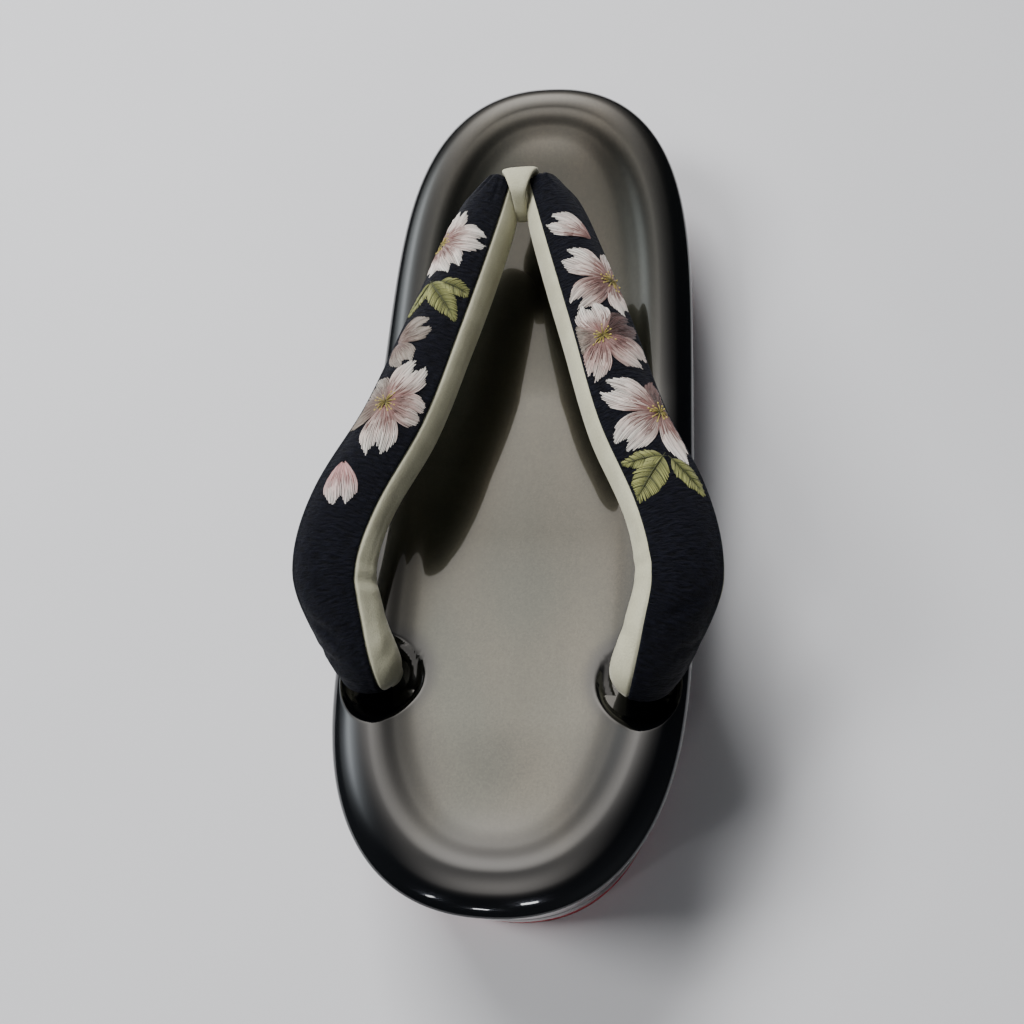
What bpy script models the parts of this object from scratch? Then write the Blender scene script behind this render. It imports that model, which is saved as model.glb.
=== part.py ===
"""Zori sandal: a platform of wrapped layers, a dished top board and two padded straps on a toe thong.

Metres, +Z up, +Y towards the toe, +X to the wearer's right. The origin is on the floor, under the
middle of the sole's plan.
"""

import math
from collections import namedtuple

import bmesh
import bpy
from mathutils import Vector

# Plan of the board, which every layer below follows
LENGTH = 0.2386
WIDTH = 0.085
END_SQUARENESS = 4.6
SIDE_ROUNDNESS = 2.25

# How far the layers draw in below the board, from its edge to the outsole's edge
FLARE_SIDE = 0.0032
FLARE_TOE = 0.0026
FLARE_HEEL = 0.0042
TOE_LIP = 0.0008
EDGE_ROUND = 0.0011

# Outsole and heel lift
OUTSOLE_THICKNESS = 0.0036
LIFT_THICKNESS = 0.0030
LIFT_LENGTH = 0.0300
FLAT_BACK = -0.111 * LENGTH
FLAT_FRONT = 0.067 * LENGTH
TOE_SPRING = 0.0119
TOE_SPRING_CURVE = 1.52
HEEL_RISE_CURVE = 1.7

# Lower layer, wedge and piping
LOWER_HEEL = 0.0075
LOWER_TOE = 0.0049
WEDGE_HEEL = 0.0278
WEDGE_TOE = 0.0115
WEDGE_BREAK = 0.352 * LENGTH
WEDGE_CURVE = 2.2
PIPING_THICKNESS = 0.0016
PIPING_WIDTH = 0.0050

# Top board: its rim stands round a dished footbed
RIM_WIDTH = 0.0085
RIM_HEIGHT = 0.0042
DISH_DEPTH = 0.0034
DISH_RUN = 0.0250

# Holes: one for the thong and two for the straps' rear ends
THONG_HOLE_Y = 0.335 * LENGTH
STRAP_HOLE_X = 0.346 * WIDTH
STRAP_HOLE_Y = -0.272 * LENGTH
NECK_RADIUS = 0.0046
NECK_DEPTH = 0.0030
HOLE_EASE = 0.0013
RECESS_RADIUS = 0.0096
RECESS_DRAFT = 0.0012
RECESS_FLOOR = 0.0008

# Straps: two padded rolls that meet at the front
STRAP_WIDTH = 0.0222
STRAP_THICKNESS = 0.0180
STRAP_SPREAD = 0.461 * WIDTH
STRAP_RISE = 0.0270
JOINT_SETBACK = 0.0148
JOINT_LEAN = 0.0035
LEAN_CURVE = 2.0
JOINT_OVERLAP = 0.0008
TIP_ROUND = 0.0034
COVER_THICKNESS = 0.0013
COVER_SHARE_AT_TIP = 0.4
COVER_SEAM_OUTER = math.radians(20)
COVER_SEAM_INNER = math.radians(127)

# Toe thong: a tube out of the board that flattens to a band over the joint
THONG_RADIUS = 0.0033
BAND_WIDTH = 0.0096
BAND_THICKNESS = 0.0019

# Gap between neighbouring pieces, and how finely the forms are cut
CLEARANCE = 0.0003
PLAN_STEPS = 34
SPAN_STEPS = 3
COVER_STEPS = 7
LINING_STEPS = 12
ROUND_STEPS = 14
TIP_STEPS = 3
BORE_SIDES = 24
RECESS_SIDES = 32
SHARP_ANGLE = math.radians(40)

# A ring of a layer's side: its height as a share of the layer, its flare share, and its rounding
# as a share of the edge's round
Edge = namedtuple("Edge", "height flare round")
OUTSOLE_EDGE = (
    Edge(0.00, 1.00, 0.25),
    Edge(0.15, 1.00, 0.00),
    Edge(0.88, 0.94, 0.00),
    Edge(1.00, 0.94, 0.25),
)
LOWER_EDGE = (
    Edge(0.00, 0.90, 1.00),
    Edge(0.18, 0.88, 0.30),
    Edge(0.50, 0.82, 0.00),
    Edge(0.82, 0.78, 0.25),
    Edge(1.00, 0.76, 0.95),
)
WEDGE_EDGE = (
    Edge(0.00, 0.76, 1.00),
    Edge(0.06, 0.74, 0.25),
    Edge(0.22, 0.68, 0.00),
    Edge(0.60, 0.50, 0.20),
    Edge(0.88, 0.32, 0.00),
    Edge(0.96, 0.28, 0.20),
    Edge(1.00, 0.26, 0.90),
)
PIPING_EDGE = (
    Edge(0.00, 0.12, 0.80),
    Edge(0.30, 0.06, 0.10),
    Edge(0.70, 0.06, 0.10),
    Edge(1.00, 0.12, 0.80),
)

# A ring of the board's rim: set in as a share of the rim's width, risen as a share of its height
Rim = namedtuple("Rim", "set_in rise")
BOARD_RIM = (
    Rim(0.10, 0.00),
    Rim(0.01, 0.09),
    Rim(0.00, 0.20),
    Rim(0.08, 0.42),
    Rim(0.26, 0.66),
    Rim(0.56, 0.89),
    Rim(1.00, 1.00),
)

# A ring of the dish: set in as a share of its run, sunk as a share of its depth
Dish = namedtuple("Dish", "set_in sink")
BOARD_DISH = (
    Dish(0.10, 0.10),
    Dish(0.24, 0.42),
    Dish(0.42, 0.74),
    Dish(0.68, 0.93),
    Dish(1.00, 1.00),
)

# A section of a strap: its place from the joint to the hole, out as a share of the spread, up as a
# share of the rise, its width and depth as shares of the strap's, and how far its cover turns out
Section = namedtuple("Section", "along out up width depth turn")
STRAP_FRONT = (
    Section(0.00, 0.00, 0.80, 0.53, 0.95, 0),
    Section(0.06, 0.09, 0.83, 0.73, 1.00, 0),
    Section(0.18, 0.22, 0.90, 0.84, 0.98, 0),
    Section(0.37, 0.42, 0.97, 0.93, 0.87, 0),
    Section(0.57, 0.63, 1.00, 0.97, 0.75, -3),
    Section(0.75, 0.90, 1.00, 0.98, 0.66, -4),
)
STRAP_REAR = (
    Section(0.87, 0.91, 0.88, 0.96, 0.66, 4),
    Section(0.95, 0.55, 0.62, 0.86, 0.72, 16),
    Section(1.01, 0.12, 0.28, 0.74, 0.80, 32),
)

# A section of the thong above the hole: ahead and up from the joint's middle as shares of the tip's
# half height, width and depth as shares that go from the tube to the band, and its share of the lean
Loop = namedtuple("Loop", "ahead up width depth lean")
THONG_LOOP = (
    Loop(1.34, -1.45, 0.00, 0.00, 0.30),
    Loop(0.96, -0.98, 0.05, 0.15, 0.70),
    Loop(0.60, -0.66, 0.40, 0.70, 1.00),
    Loop(0.45, -0.20, 0.85, 1.00, 1.00),
    Loop(0.42, 0.42, 1.00, 1.00, 1.00),
    Loop(0.24, 0.92, 0.96, 1.00, 1.00),
    Loop(-0.12, 1.07, 0.62, 1.00, 1.00),
    Loop(-0.60, 0.96, 0.20, 1.00, 0.94),
    Loop(-0.84, 0.42, 0.02, 1.00, 0.88),
    Loop(-0.84, -0.10, 0.00, 1.00, 0.88),
)
BAND_TAIL_WIDTH = 0.0032


def power_share(value, start, end, curve):
    """How far a value has gone from start to end, from 0 to 1, bent by a power."""
    share = (value - start) / (end - start)
    return min(1.0, max(0.0, share)) ** curve


def outsole_bottom(y):
    toe = TOE_SPRING * power_share(y, FLAT_FRONT, LENGTH / 2, TOE_SPRING_CURVE)
    lift_front = LIFT_LENGTH - LENGTH / 2
    heel = power_share(y, FLAT_BACK, lift_front, HEEL_RISE_CURVE)
    return toe + heel * (LIFT_THICKNESS + CLEARANCE)


def outsole_top(y):
    return outsole_bottom(y) + OUTSOLE_THICKNESS


def lower_bottom(y):
    return outsole_top(y) + CLEARANCE


def lower_top(y):
    toe_share = y / LENGTH + 0.5
    return lower_bottom(y) + LOWER_HEEL + (LOWER_TOE - LOWER_HEEL) * toe_share


def wedge_bottom(y):
    return lower_top(y) + CLEARANCE


def wedge_top(y):
    climb = power_share(y, WEDGE_BREAK, -LENGTH / 2, WEDGE_CURVE)
    return wedge_bottom(y) + WEDGE_TOE + (WEDGE_HEEL - WEDGE_TOE) * climb


def piping_bottom(y):
    return wedge_top(y) + CLEARANCE


def piping_top(y):
    return piping_bottom(y) + PIPING_THICKNESS


def rim_bottom(y):
    return piping_top(y) + CLEARANCE


def rim_top(y):
    return rim_bottom(y) + RIM_HEIGHT


def footbed(y):
    """Height of the dish's floor."""
    return rim_top(y) - DISH_DEPTH


def plan_ring(side, toe, heel, height):
    """Points round the plan, drawn in from the board's edge, each at the height for its y."""
    points = []
    for step in range(2 * PLAN_STEPS):
        angle = math.pi * step / PLAN_STEPS
        along = math.cos(angle)
        reach = LENGTH / 2 - (toe if along > 0 else heel)
        y = reach * along
        width = (1 - min(1.0, abs(along)) ** END_SQUARENESS) ** (1 / SIDE_ROUNDNESS)
        x = math.copysign((WIDTH / 2 - side) * width, math.sin(angle))
        points.append(Vector((x, y, height(y))))
    return points


def layer_ring(edge, bottom, top):
    rounding = edge.round * EDGE_ROUND
    side = edge.flare * FLARE_SIDE + rounding
    toe = TOE_LIP + edge.flare * FLARE_TOE + rounding
    heel = edge.flare * FLARE_HEEL + rounding

    def height(y):
        return bottom(y) + edge.height * (top(y) - bottom(y))

    return plan_ring(side, toe, heel, height)


def set_in_ring(set_in, height):
    return plan_ring(set_in, set_in, set_in, height)


def add_cross_cap(bm, loop):
    """Closes a plan ring with strips from its right side to its left side."""
    count = len(loop)
    half = count // 2
    bm.faces.new((loop[0], loop[1], loop[count - 1]))
    bm.faces.new((loop[half], loop[half + 1], loop[half - 1]))
    for step in range(1, half - 1):
        bm.faces.new((loop[step], loop[step + 1], loop[count - step - 1], loop[count - step]))


def add_flat_cap(bm, loop):
    bm.faces.new(loop)


def add_fan_cap(bm, loop):
    """Closes a loop that is seen whole from its middle."""
    middle = sum((vert.co for vert in loop), Vector()) / len(loop)
    centre = bm.verts.new(middle)
    for step, vert in enumerate(loop):
        bm.faces.new((vert, loop[(step + 1) % len(loop)], centre))


def add_wall_cap(bm, loop):
    """Closes the end of a wall, from its outer side to its inner side."""
    last = len(loop) - 1
    for step in range(len(loop) // 2 - 1):
        bm.faces.new((loop[step], loop[step + 1], loop[last - step - 1], loop[last - step]))


def add_bands(bm, loops, closed=False):
    """Joins each ring of points to the next with faces."""
    pairs = list(zip(loops, loops[1:]))
    if closed:
        pairs.append((loops[-1], loops[0]))
    for lower, upper in pairs:
        for step in range(len(lower)):
            after = (step + 1) % len(lower)
            bm.faces.new((lower[step], lower[after], upper[after], upper[step]))


def mesh_object(name, bm, collection, material=None):
    bmesh.ops.recalc_face_normals(bm, faces=bm.faces)
    mesh = bpy.data.meshes.new(name)
    bm.to_mesh(mesh)
    bm.free()
    mesh.shade_smooth()
    mesh.set_sharp_from_angle(angle=SHARP_ANGLE)
    obj = bpy.data.objects.new(name, mesh)
    collection.objects.link(obj)
    if material:
        mesh.materials.append(material)
    else:
        obj.hide_render = True
        obj.display_type = "WIRE"
    return obj


def loft(name, rings, add_cap, collection, material=None):
    """A closed solid through rings of points, capped at both ends."""
    bm = bmesh.new()
    loops = [[bm.verts.new(point) for point in ring] for ring in rings]
    add_bands(bm, loops)
    add_cap(bm, loops[0])
    add_cap(bm, loops[-1])
    return mesh_object(name, bm, collection, material)


def closed_band(name, rings, collection, material):
    """A closed solid through rings of points, the last joined to the first."""
    bm = bmesh.new()
    loops = [[bm.verts.new(point) for point in ring] for ring in rings]
    add_bands(bm, loops, closed=True)
    return mesh_object(name, bm, collection, material)


def cut(obj, cutter, operation="DIFFERENCE"):
    modifier = obj.modifiers.new(operation.lower() + " " + cutter.name, "BOOLEAN")
    modifier.operation = operation
    modifier.solver = "EXACT"
    modifier.object = cutter


def make_material(name, colour, roughness):
    material = bpy.data.materials.new(name)
    material.use_nodes = True
    shader = material.node_tree.nodes["Principled BSDF"]
    shader.inputs["Base Color"].default_value = (*colour, 1.0)
    shader.inputs["Roughness"].default_value = roughness
    shader.inputs["Metallic"].default_value = 0.0
    return material


def make_heel_lift(collection, material):
    """A half-moon plate under the heel, the outsole's outline cut off square at its front."""
    front = LIFT_LENGTH - LENGTH / 2
    edge = OUTSOLE_EDGE[0]
    outline = layer_ring(edge, outsole_bottom, outsole_top)
    rear = [point for point in outline if point.y < front]
    half_front = max(point.x for point in rear)
    flat = [(half_front, front)]
    flat += [(point.x, point.y) for point in rear]
    flat += [(-half_front, front)]
    rings = []
    for height in (0.0, LIFT_THICKNESS):
        rings.append([Vector((x, y, height)) for x, y in flat])
    return loft("heel_lift", rings, add_flat_cap, collection, material)


def make_layer(name, edges, bottom, top, collection, material):
    rings = [layer_ring(edge, bottom, top) for edge in edges]
    return loft(name, rings, add_cross_cap, collection, material)


def piping_inside():
    """How far the piping's inner edge is set in from the board's edge."""
    return PIPING_EDGE[0].flare * FLARE_SIDE + PIPING_WIDTH


def make_piping(collection, material):
    rings = [layer_ring(edge, piping_bottom, piping_top) for edge in PIPING_EDGE]
    rings.append(set_in_ring(piping_inside(), piping_top))
    rings.append(set_in_ring(piping_inside(), piping_bottom))
    return closed_band("piping", rings, collection, material)


def make_board(collection, material):
    plug = piping_inside() + CLEARANCE
    rings = [set_in_ring(plug, piping_bottom), set_in_ring(plug, rim_bottom)]
    for rim in BOARD_RIM:
        rings.append(set_in_ring(rim.set_in * RIM_WIDTH, shifted(rim_bottom, rim.rise * RIM_HEIGHT)))
    for dish in BOARD_DISH:
        set_in = RIM_WIDTH + dish.set_in * DISH_RUN
        rings.append(set_in_ring(set_in, shifted(rim_top, -dish.sink * DISH_DEPTH)))
    return loft("top_board", rings, add_cross_cap, collection, material)


def shifted(height, rise):
    """A height function, raised."""
    def raised(y):
        return height(y) + rise

    return raised


def joint_y():
    """Where the straps' tips meet, behind the thong's hole."""
    return THONG_HOLE_Y - JOINT_SETBACK


def tip_half_height():
    return STRAP_FRONT[0].depth * STRAP_THICKNESS / 2


def joint_height():
    return footbed(joint_y()) + STRAP_FRONT[0].up * STRAP_RISE


def lean_at(y):
    """How far the straps lean to the left, most at the joint and nothing at the holes."""
    return JOINT_LEAN * power_share(y, STRAP_HOLE_Y, joint_y(), LEAN_CURVE)


# A point of a path, with the section's half width, half depth and turn
Station = namedtuple("Station", "place width depth turn")


def strap_stations():
    """The right strap's sections from the joint to the hole in the board, before the lean."""
    tip_x = STRAP_FRONT[0].width * STRAP_WIDTH / 2 - JOINT_OVERLAP
    stations = []
    for rows, start_x in ((STRAP_FRONT, tip_x), (STRAP_REAR, STRAP_HOLE_X)):
        for row in rows:
            y = joint_y() + row.along * (STRAP_HOLE_Y - joint_y())
            x = start_x + row.out * (STRAP_SPREAD - start_x)
            place = Vector((x, y, footbed(y) + row.up * STRAP_RISE))
            width = row.width * STRAP_WIDTH / 2
            depth = row.depth * STRAP_THICKNESS / 2
            stations.append(Station(place, width, depth, math.radians(row.turn)))
    turn = stations[-1].turn
    neck_bottom = piping_bottom(STRAP_HOLE_Y - NECK_RADIUS)
    for height in (neck_bottom + NECK_DEPTH, neck_bottom):
        place = Vector((STRAP_HOLE_X, STRAP_HOLE_Y, height))
        stations.append(Station(place, NECK_RADIUS, NECK_RADIUS, turn))
    return stations


def thong_stations():
    """The thong's sections from the hole in the board, up over the joint and down behind it."""
    hole_bottom = piping_bottom(THONG_HOLE_Y + THONG_RADIUS)
    stations = []
    for height in (hole_bottom, rim_top(THONG_HOLE_Y)):
        stations.append(Station(Vector((0, THONG_HOLE_Y, height)), THONG_RADIUS, THONG_RADIUS, 0))
    unit = tip_half_height()
    for row in THONG_LOOP:
        y = joint_y() + row.ahead * unit
        z = joint_height() + row.up * unit
        place = Vector((-row.lean * JOINT_LEAN, y, z))
        widest = BAND_WIDTH / 2
        narrowest = THONG_RADIUS if row.ahead > 0 else BAND_TAIL_WIDTH / 2
        width = narrowest + row.width * (widest - narrowest)
        depth = THONG_RADIUS + row.depth * (BAND_THICKNESS / 2 - THONG_RADIUS)
        stations.append(Station(place, width, depth, 0))
    return stations


def blended(stations, steps):
    """Stations along a smooth curve through the given ones, with a few steps from each to the next."""
    values = [[*s.place, s.width, s.depth, s.turn] for s in stations]
    marks = [0.0]
    for before, after in zip(stations, stations[1:]):
        marks.append(marks[-1] + (after.place - before.place).length)
    slopes = []
    for index in range(len(values)):
        left = max(0, index - 1)
        right = min(len(values) - 1, index + 1)
        span = marks[right] - marks[left]
        slopes.append([(b - a) / span for a, b in zip(values[left], values[right])])
    result = []
    for index in range(len(values) - 1):
        span = marks[index + 1] - marks[index]
        for step in range(steps):
            t = step / steps
            row = []
            for a, b, m, n in zip(values[index], values[index + 1], slopes[index], slopes[index + 1]):
                start = a * (1 + 2 * t) * (1 - t) ** 2 + m * span * t * (1 - t) ** 2
                end = b * (3 - 2 * t) * t ** 2 - n * span * t ** 2 * (1 - t)
                row.append(start + end)
            result.append(Station(Vector(row[:3]), row[3], row[4], row[5]))
    result.append(stations[-1])
    return result


# A section's frame: its middle, which way its cover and its outer edge face, and its half sizes
Frame = namedtuple("Frame", "middle cover outer width depth")


def frames_along(stations, first_up, first_out):
    """A frame for each station, carried along the path without twist and then turned."""
    frames = []
    up = first_up
    for index, station in enumerate(stations):
        before = stations[max(0, index - SPAN_STEPS)].place
        after = stations[min(len(stations) - 1, index + SPAN_STEPS)].place
        ahead = (after - before).normalized()
        up = (up - ahead * up.dot(ahead)).normalized()
        out = ahead.cross(up)
        if out.dot(first_out) < 0:
            out = -out
        cover = up * math.cos(station.turn) + out * math.sin(station.turn)
        outer = out * math.cos(station.turn) - up * math.sin(station.turn)
        frames.append(Frame(station.place, cover, outer, station.width, station.depth))
    return frames


def rounded_tip(frame, back):
    """Shrinking copies of a frame that round off a tip, from the outermost to the full one."""
    tips = []
    for step in range(1, TIP_STEPS + 1):
        angle = math.pi / 2 * step / (TIP_STEPS + 1)
        middle = frame.middle - back * (TIP_ROUND * math.cos(angle))
        size = math.sin(angle)
        tips.append(Frame(middle, frame.cover, frame.outer, frame.width * size, frame.depth * size))
    return tips


def strap_frames():
    frames = frames_along(blended(strap_stations(), SPAN_STEPS), Vector((0, 0, 1)), Vector((1, 0, 0)))
    back = (frames[1].middle - frames[0].middle).normalized()
    return rounded_tip(frames[0], back) + frames


def leaned(point, side):
    """A point of the right strap, mirrored for the left one, moved over by the lean."""
    return Vector((side * point.x - lean_at(point.y), point.y, point.z))


def arc_point(frame, angle, inset):
    out = frame.outer * ((frame.width - inset) * math.cos(angle))
    up = frame.cover * ((frame.depth - inset) * math.sin(angle))
    return frame.middle + out + up


def arc_angles(start, end, steps):
    return [start + (end - start) * step / steps for step in range(steps + 1)]


def round_section(frame, grow):
    angles = arc_angles(0, 2 * math.pi, ROUND_STEPS)
    return [arc_point(frame, angle, -grow) for angle in angles[:-1]]


def lining_section(frame, side):
    """A whole roll, stepped in where the cover lies on it."""
    full = arc_angles(COVER_SEAM_INNER, COVER_SEAM_OUTER + 2 * math.pi, LINING_STEPS)
    step_in = min(COVER_THICKNESS + CLEARANCE, COVER_SHARE_AT_TIP * frame.width)
    under = arc_angles(COVER_SEAM_OUTER, COVER_SEAM_INNER, COVER_STEPS)
    points = [arc_point(frame, angle, 0) for angle in full]
    points += [arc_point(frame, angle, step_in) for angle in under]
    return [leaned(point, side) for point in points]


def cover_section(frame, side):
    """The cover's wall over the top of the roll."""
    gap = CLEARANCE / frame.width
    angles = arc_angles(COVER_SEAM_OUTER + gap, COVER_SEAM_INNER - gap, COVER_STEPS)
    wall = min(COVER_THICKNESS, COVER_SHARE_AT_TIP * frame.width - CLEARANCE)
    points = [arc_point(frame, angle, 0) for angle in angles]
    points += [arc_point(frame, angle, wall) for angle in reversed(angles)]
    return [leaned(point, side) for point in points]


def make_roll(side, collection, material=None):
    rings = [lining_section(frame, side) for frame in strap_frames()]
    name = "strap_lining" if material else "strap_lining_other_side"
    return loft(name, rings, add_fan_cap, collection, material)


def make_cover(side, collection, material):
    rings = [cover_section(frame, side) for frame in strap_frames()]
    name = "strap_cover_" + ("right" if side > 0 else "left")
    return loft(name, rings, add_wall_cap, collection, material)


def thong_rings(grow):
    """Rings of the thong, grown all round."""
    frames = frames_along(blended(thong_stations(), SPAN_STEPS), Vector((0, 1, 0)), Vector((1, 0, 0)))
    end = frames[-1]
    ahead = (end.middle - frames[-2].middle).normalized()
    frames[-1] = end._replace(middle=end.middle + ahead * grow)
    return [round_section(frame, grow) for frame in frames]


def cone_cutter(name, place, sides, bottom, top, depth, collection):
    """An upright cone or cylinder, its middle at the given place."""
    bm = bmesh.new()
    bmesh.ops.create_cone(bm, cap_ends=True, segments=sides, radius1=bottom, radius2=top, depth=depth)
    bmesh.ops.translate(bm, vec=place, verts=bm.verts)
    return mesh_object(name, bm, collection)


def make_bore(name, x, y, radius, collection):
    """A cutter through the whole board."""
    depth = 2 * (rim_top(y) - wedge_bottom(y))
    return cone_cutter(name, (x, y, rim_bottom(y)), BORE_SIDES, radius, radius, depth, collection)


def make_recess(side, collection):
    """A cutter for a shallow cup with sloping sides, round a strap's hole."""
    floor = rim_bottom(STRAP_HOLE_Y) + RECESS_FLOOR
    depth = rim_top(STRAP_HOLE_Y) - floor
    name = "recess_" + ("right" if side > 0 else "left")
    bottom = RECESS_RADIUS - RECESS_DRAFT
    top = RECESS_RADIUS + RECESS_DRAFT
    place = (side * STRAP_HOLE_X, STRAP_HOLE_Y, floor + depth)
    return cone_cutter(name, place, RECESS_SIDES, bottom, top, 2 * depth, collection)


def clear_scene():
    for obj in list(bpy.data.objects):
        bpy.data.objects.remove(obj, do_unlink=True)


def new_collection(name):
    collection = bpy.data.collections.new(name)
    bpy.context.scene.collection.children.link(collection)
    return collection


def main():
    clear_scene()
    parts = new_collection("zori_sandal")
    cutters = new_collection("cutters")

    rubber = make_material("red_rubber", (0.50, 0.035, 0.045), 0.55)
    enamel = make_material("black_enamel", (0.012, 0.013, 0.016), 0.12)
    pearl = make_material("pearl_enamel", (0.16, 0.145, 0.125), 0.28)
    velvet = make_material("cream_velvet", (0.70, 0.68, 0.52), 0.95)
    crepe = make_material("navy_crepe", (0.012, 0.013, 0.024), 0.85)

    make_heel_lift(parts, rubber)
    make_layer("outsole", OUTSOLE_EDGE, outsole_bottom, outsole_top, parts, rubber)
    make_layer("lower_layer", LOWER_EDGE, lower_bottom, lower_top, parts, enamel)
    make_layer("wedge", WEDGE_EDGE, wedge_bottom, wedge_top, parts, enamel)
    make_piping(parts, enamel)

    board = make_board(parts, pearl)
    for side in (1, -1):
        cut(board, make_recess(side, cutters))
        hole_name = "strap_hole_" + ("right" if side > 0 else "left")
        hole_radius = NECK_RADIUS + HOLE_EASE
        cut(board, make_bore(hole_name, side * STRAP_HOLE_X, STRAP_HOLE_Y, hole_radius, cutters))
    cut(board, make_bore("thong_hole", 0, THONG_HOLE_Y, THONG_RADIUS + HOLE_EASE, cutters))

    thong_space = loft("thong_space", thong_rings(CLEARANCE), add_flat_cap, cutters)
    lining = make_roll(1, parts, velvet)
    cut(lining, make_roll(-1, cutters), "UNION")
    cut(lining, thong_space)
    for side in (1, -1):
        cut(make_cover(side, parts, crepe), thong_space)
    loft("toe_thong", thong_rings(0.0), add_flat_cap, parts, velvet)


main()
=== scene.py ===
"""Dresses the zori sandal: smooth enamelled layers, padded straps with embroidery, floor, light, camera.

Metres, +Z up, +Y towards the toe, +X to the wearer's right, in the frame of the CAD model.
"""

import math
import random
from collections import namedtuple

import bmesh
import bpy
import numpy as np
from mathutils import Matrix, Vector


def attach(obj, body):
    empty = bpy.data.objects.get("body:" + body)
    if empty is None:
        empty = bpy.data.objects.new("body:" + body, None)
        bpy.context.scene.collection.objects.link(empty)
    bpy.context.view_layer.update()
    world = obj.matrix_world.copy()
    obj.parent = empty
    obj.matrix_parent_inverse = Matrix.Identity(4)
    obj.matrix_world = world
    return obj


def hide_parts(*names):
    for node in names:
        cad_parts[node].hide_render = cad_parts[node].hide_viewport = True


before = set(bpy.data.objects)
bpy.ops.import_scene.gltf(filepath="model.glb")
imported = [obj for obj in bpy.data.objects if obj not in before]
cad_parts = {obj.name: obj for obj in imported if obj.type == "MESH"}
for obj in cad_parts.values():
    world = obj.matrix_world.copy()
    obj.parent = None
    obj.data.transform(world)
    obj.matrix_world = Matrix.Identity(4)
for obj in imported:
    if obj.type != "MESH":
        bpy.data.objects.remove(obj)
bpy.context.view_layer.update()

# Sizes of the sandal, the same as the CAD model's: the plan, and how the layers' sides flare
LENGTH = 0.2386
WIDTH = 0.085
END_SQUARENESS = 4.6
SIDE_ROUNDNESS = 2.25
FLARE_SIDE = 0.0032
FLARE_TOE = 0.0026
FLARE_HEEL = 0.0042
TOE_LIP = 0.0008
EDGE_ROUND = 0.0011

# Outsole and heel lift
OUTSOLE_THICKNESS = 0.0036
LIFT_THICKNESS = 0.0030
LIFT_LENGTH = 0.0300
FLAT_BACK = -0.111 * LENGTH
FLAT_FRONT = 0.067 * LENGTH
TOE_SPRING = 0.0119
TOE_SPRING_CURVE = 1.52
HEEL_RISE_CURVE = 1.7

# Lower layer, wedge and piping
LOWER_HEEL = 0.0075
LOWER_TOE = 0.0049
WEDGE_HEEL = 0.0278
WEDGE_TOE = 0.0115
WEDGE_BREAK = 0.352 * LENGTH
WEDGE_CURVE = 2.2
PIPING_THICKNESS = 0.0016
PIPING_WIDTH = 0.0050

# Top board: its rim, its dish, and how far the bend above the heel lift's front is rounded off
RIM_WIDTH = 0.0085
RIM_HEIGHT = 0.0042
DISH_DEPTH = 0.0034
DISH_RUN = 0.0250
HEEL_EASE_RUN = 0.014

# Holes through the board, the hollows round the straps' ends, and the soft lips of both
THONG_HOLE_Y = 0.335 * LENGTH
THONG_HOLE_REACH = 0.010
STRAP_HOLE_X = 0.346 * WIDTH
STRAP_HOLE_Y = -0.272 * LENGTH
NECK_RADIUS = 0.0046
NECK_DEPTH = 0.0030
HOLE_EASE = 0.0013
HOLE_SLOPE = 4
RECESS_RADIUS = 0.0096
RECESS_DRAFT = 0.0012
RECESS_FLOOR = 0.0008
RECESS_LIP = 0.0011
STRAP_HOLE_LIP = 0.0005
THONG_HOLE_LIP = 0.0006

# Straps and their covers; the covers' seams are in degrees round the strap
STRAP_WIDTH = 0.0222
STRAP_THICKNESS = 0.0180
STRAP_SPREAD = 0.461 * WIDTH
STRAP_RISE = 0.0270
STRAP_SLIM = 0.0005
JOINT_SETBACK = 0.0148
JOINT_LEAN = 0.0035
LEAN_CURVE = 2.0
JOINT_HALF_GAP = 0.0001
TIP_ROUND = 0.0034
COVER_THICKNESS = 0.0013
COVER_GAP = 0.00025
COVER_SEAM_OUTER = 20
COVER_SEAM_INNER = 127
SEAM_STEP = 0.8

# Thong, a round cord that flattens to a band over the joint
THONG_RADIUS = 0.0033
THONG_SLIM = 0.00005
BAND_WIDTH = 0.0096
BAND_THICKNESS = 0.0019
BAND_TAIL_WIDTH = 0.0032
BAND_SQUARENESS = 0.35

# Left free between pieces
CLEARANCE = 0.0003

# How finely the smooth forms are drawn
ROUND_THE_PLAN = 300
PROFILE_STEPS = 4
BOARD_STEPS = 9
LIFT_FRONT_POINTS = 16
STRAP_STEPS = 9
TIP_STEPS = 9
THONG_STEPS = 8
COVER_COLUMNS = 24
LINING_COLUMNS = 32
THONG_COLUMNS = 32
FINER_ALONG = 3
FINER_AROUND = 2
COVER_EDGE = COVER_COLUMNS * FINER_AROUND
MERGE_WITHIN = 0.00002
TINY = 1e-12
JUST_UNDER_ONE = 0.999

# Angles round the plan from the toe; the board has closer ones beside its hollows, in degrees
HOLLOW_SPAN = (113.1, 141.0)
HOLLOW_ANGLE_STEP = 0.3
PLAN_ANGLES = np.arange(ROUND_THE_PLAN) * 2 * math.pi / ROUND_THE_PLAN
HOLLOW_ANGLES = np.radians(np.arange(*HOLLOW_SPAN, HOLLOW_ANGLE_STEP))
BOARD_ANGLES = np.unique(np.concatenate((PLAN_ANGLES, HOLLOW_ANGLES, 2 * math.pi - HOLLOW_ANGLES)))

# How far in from the outline the rings lie over a layer's flats and over the board's underside
FLAT_RINGS = (0.006, 0.010, 0.018, 0.030)
UNDERSIDE_RINGS = (WIDTH / 2, 0.030, 0.012, 0.004)

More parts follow.
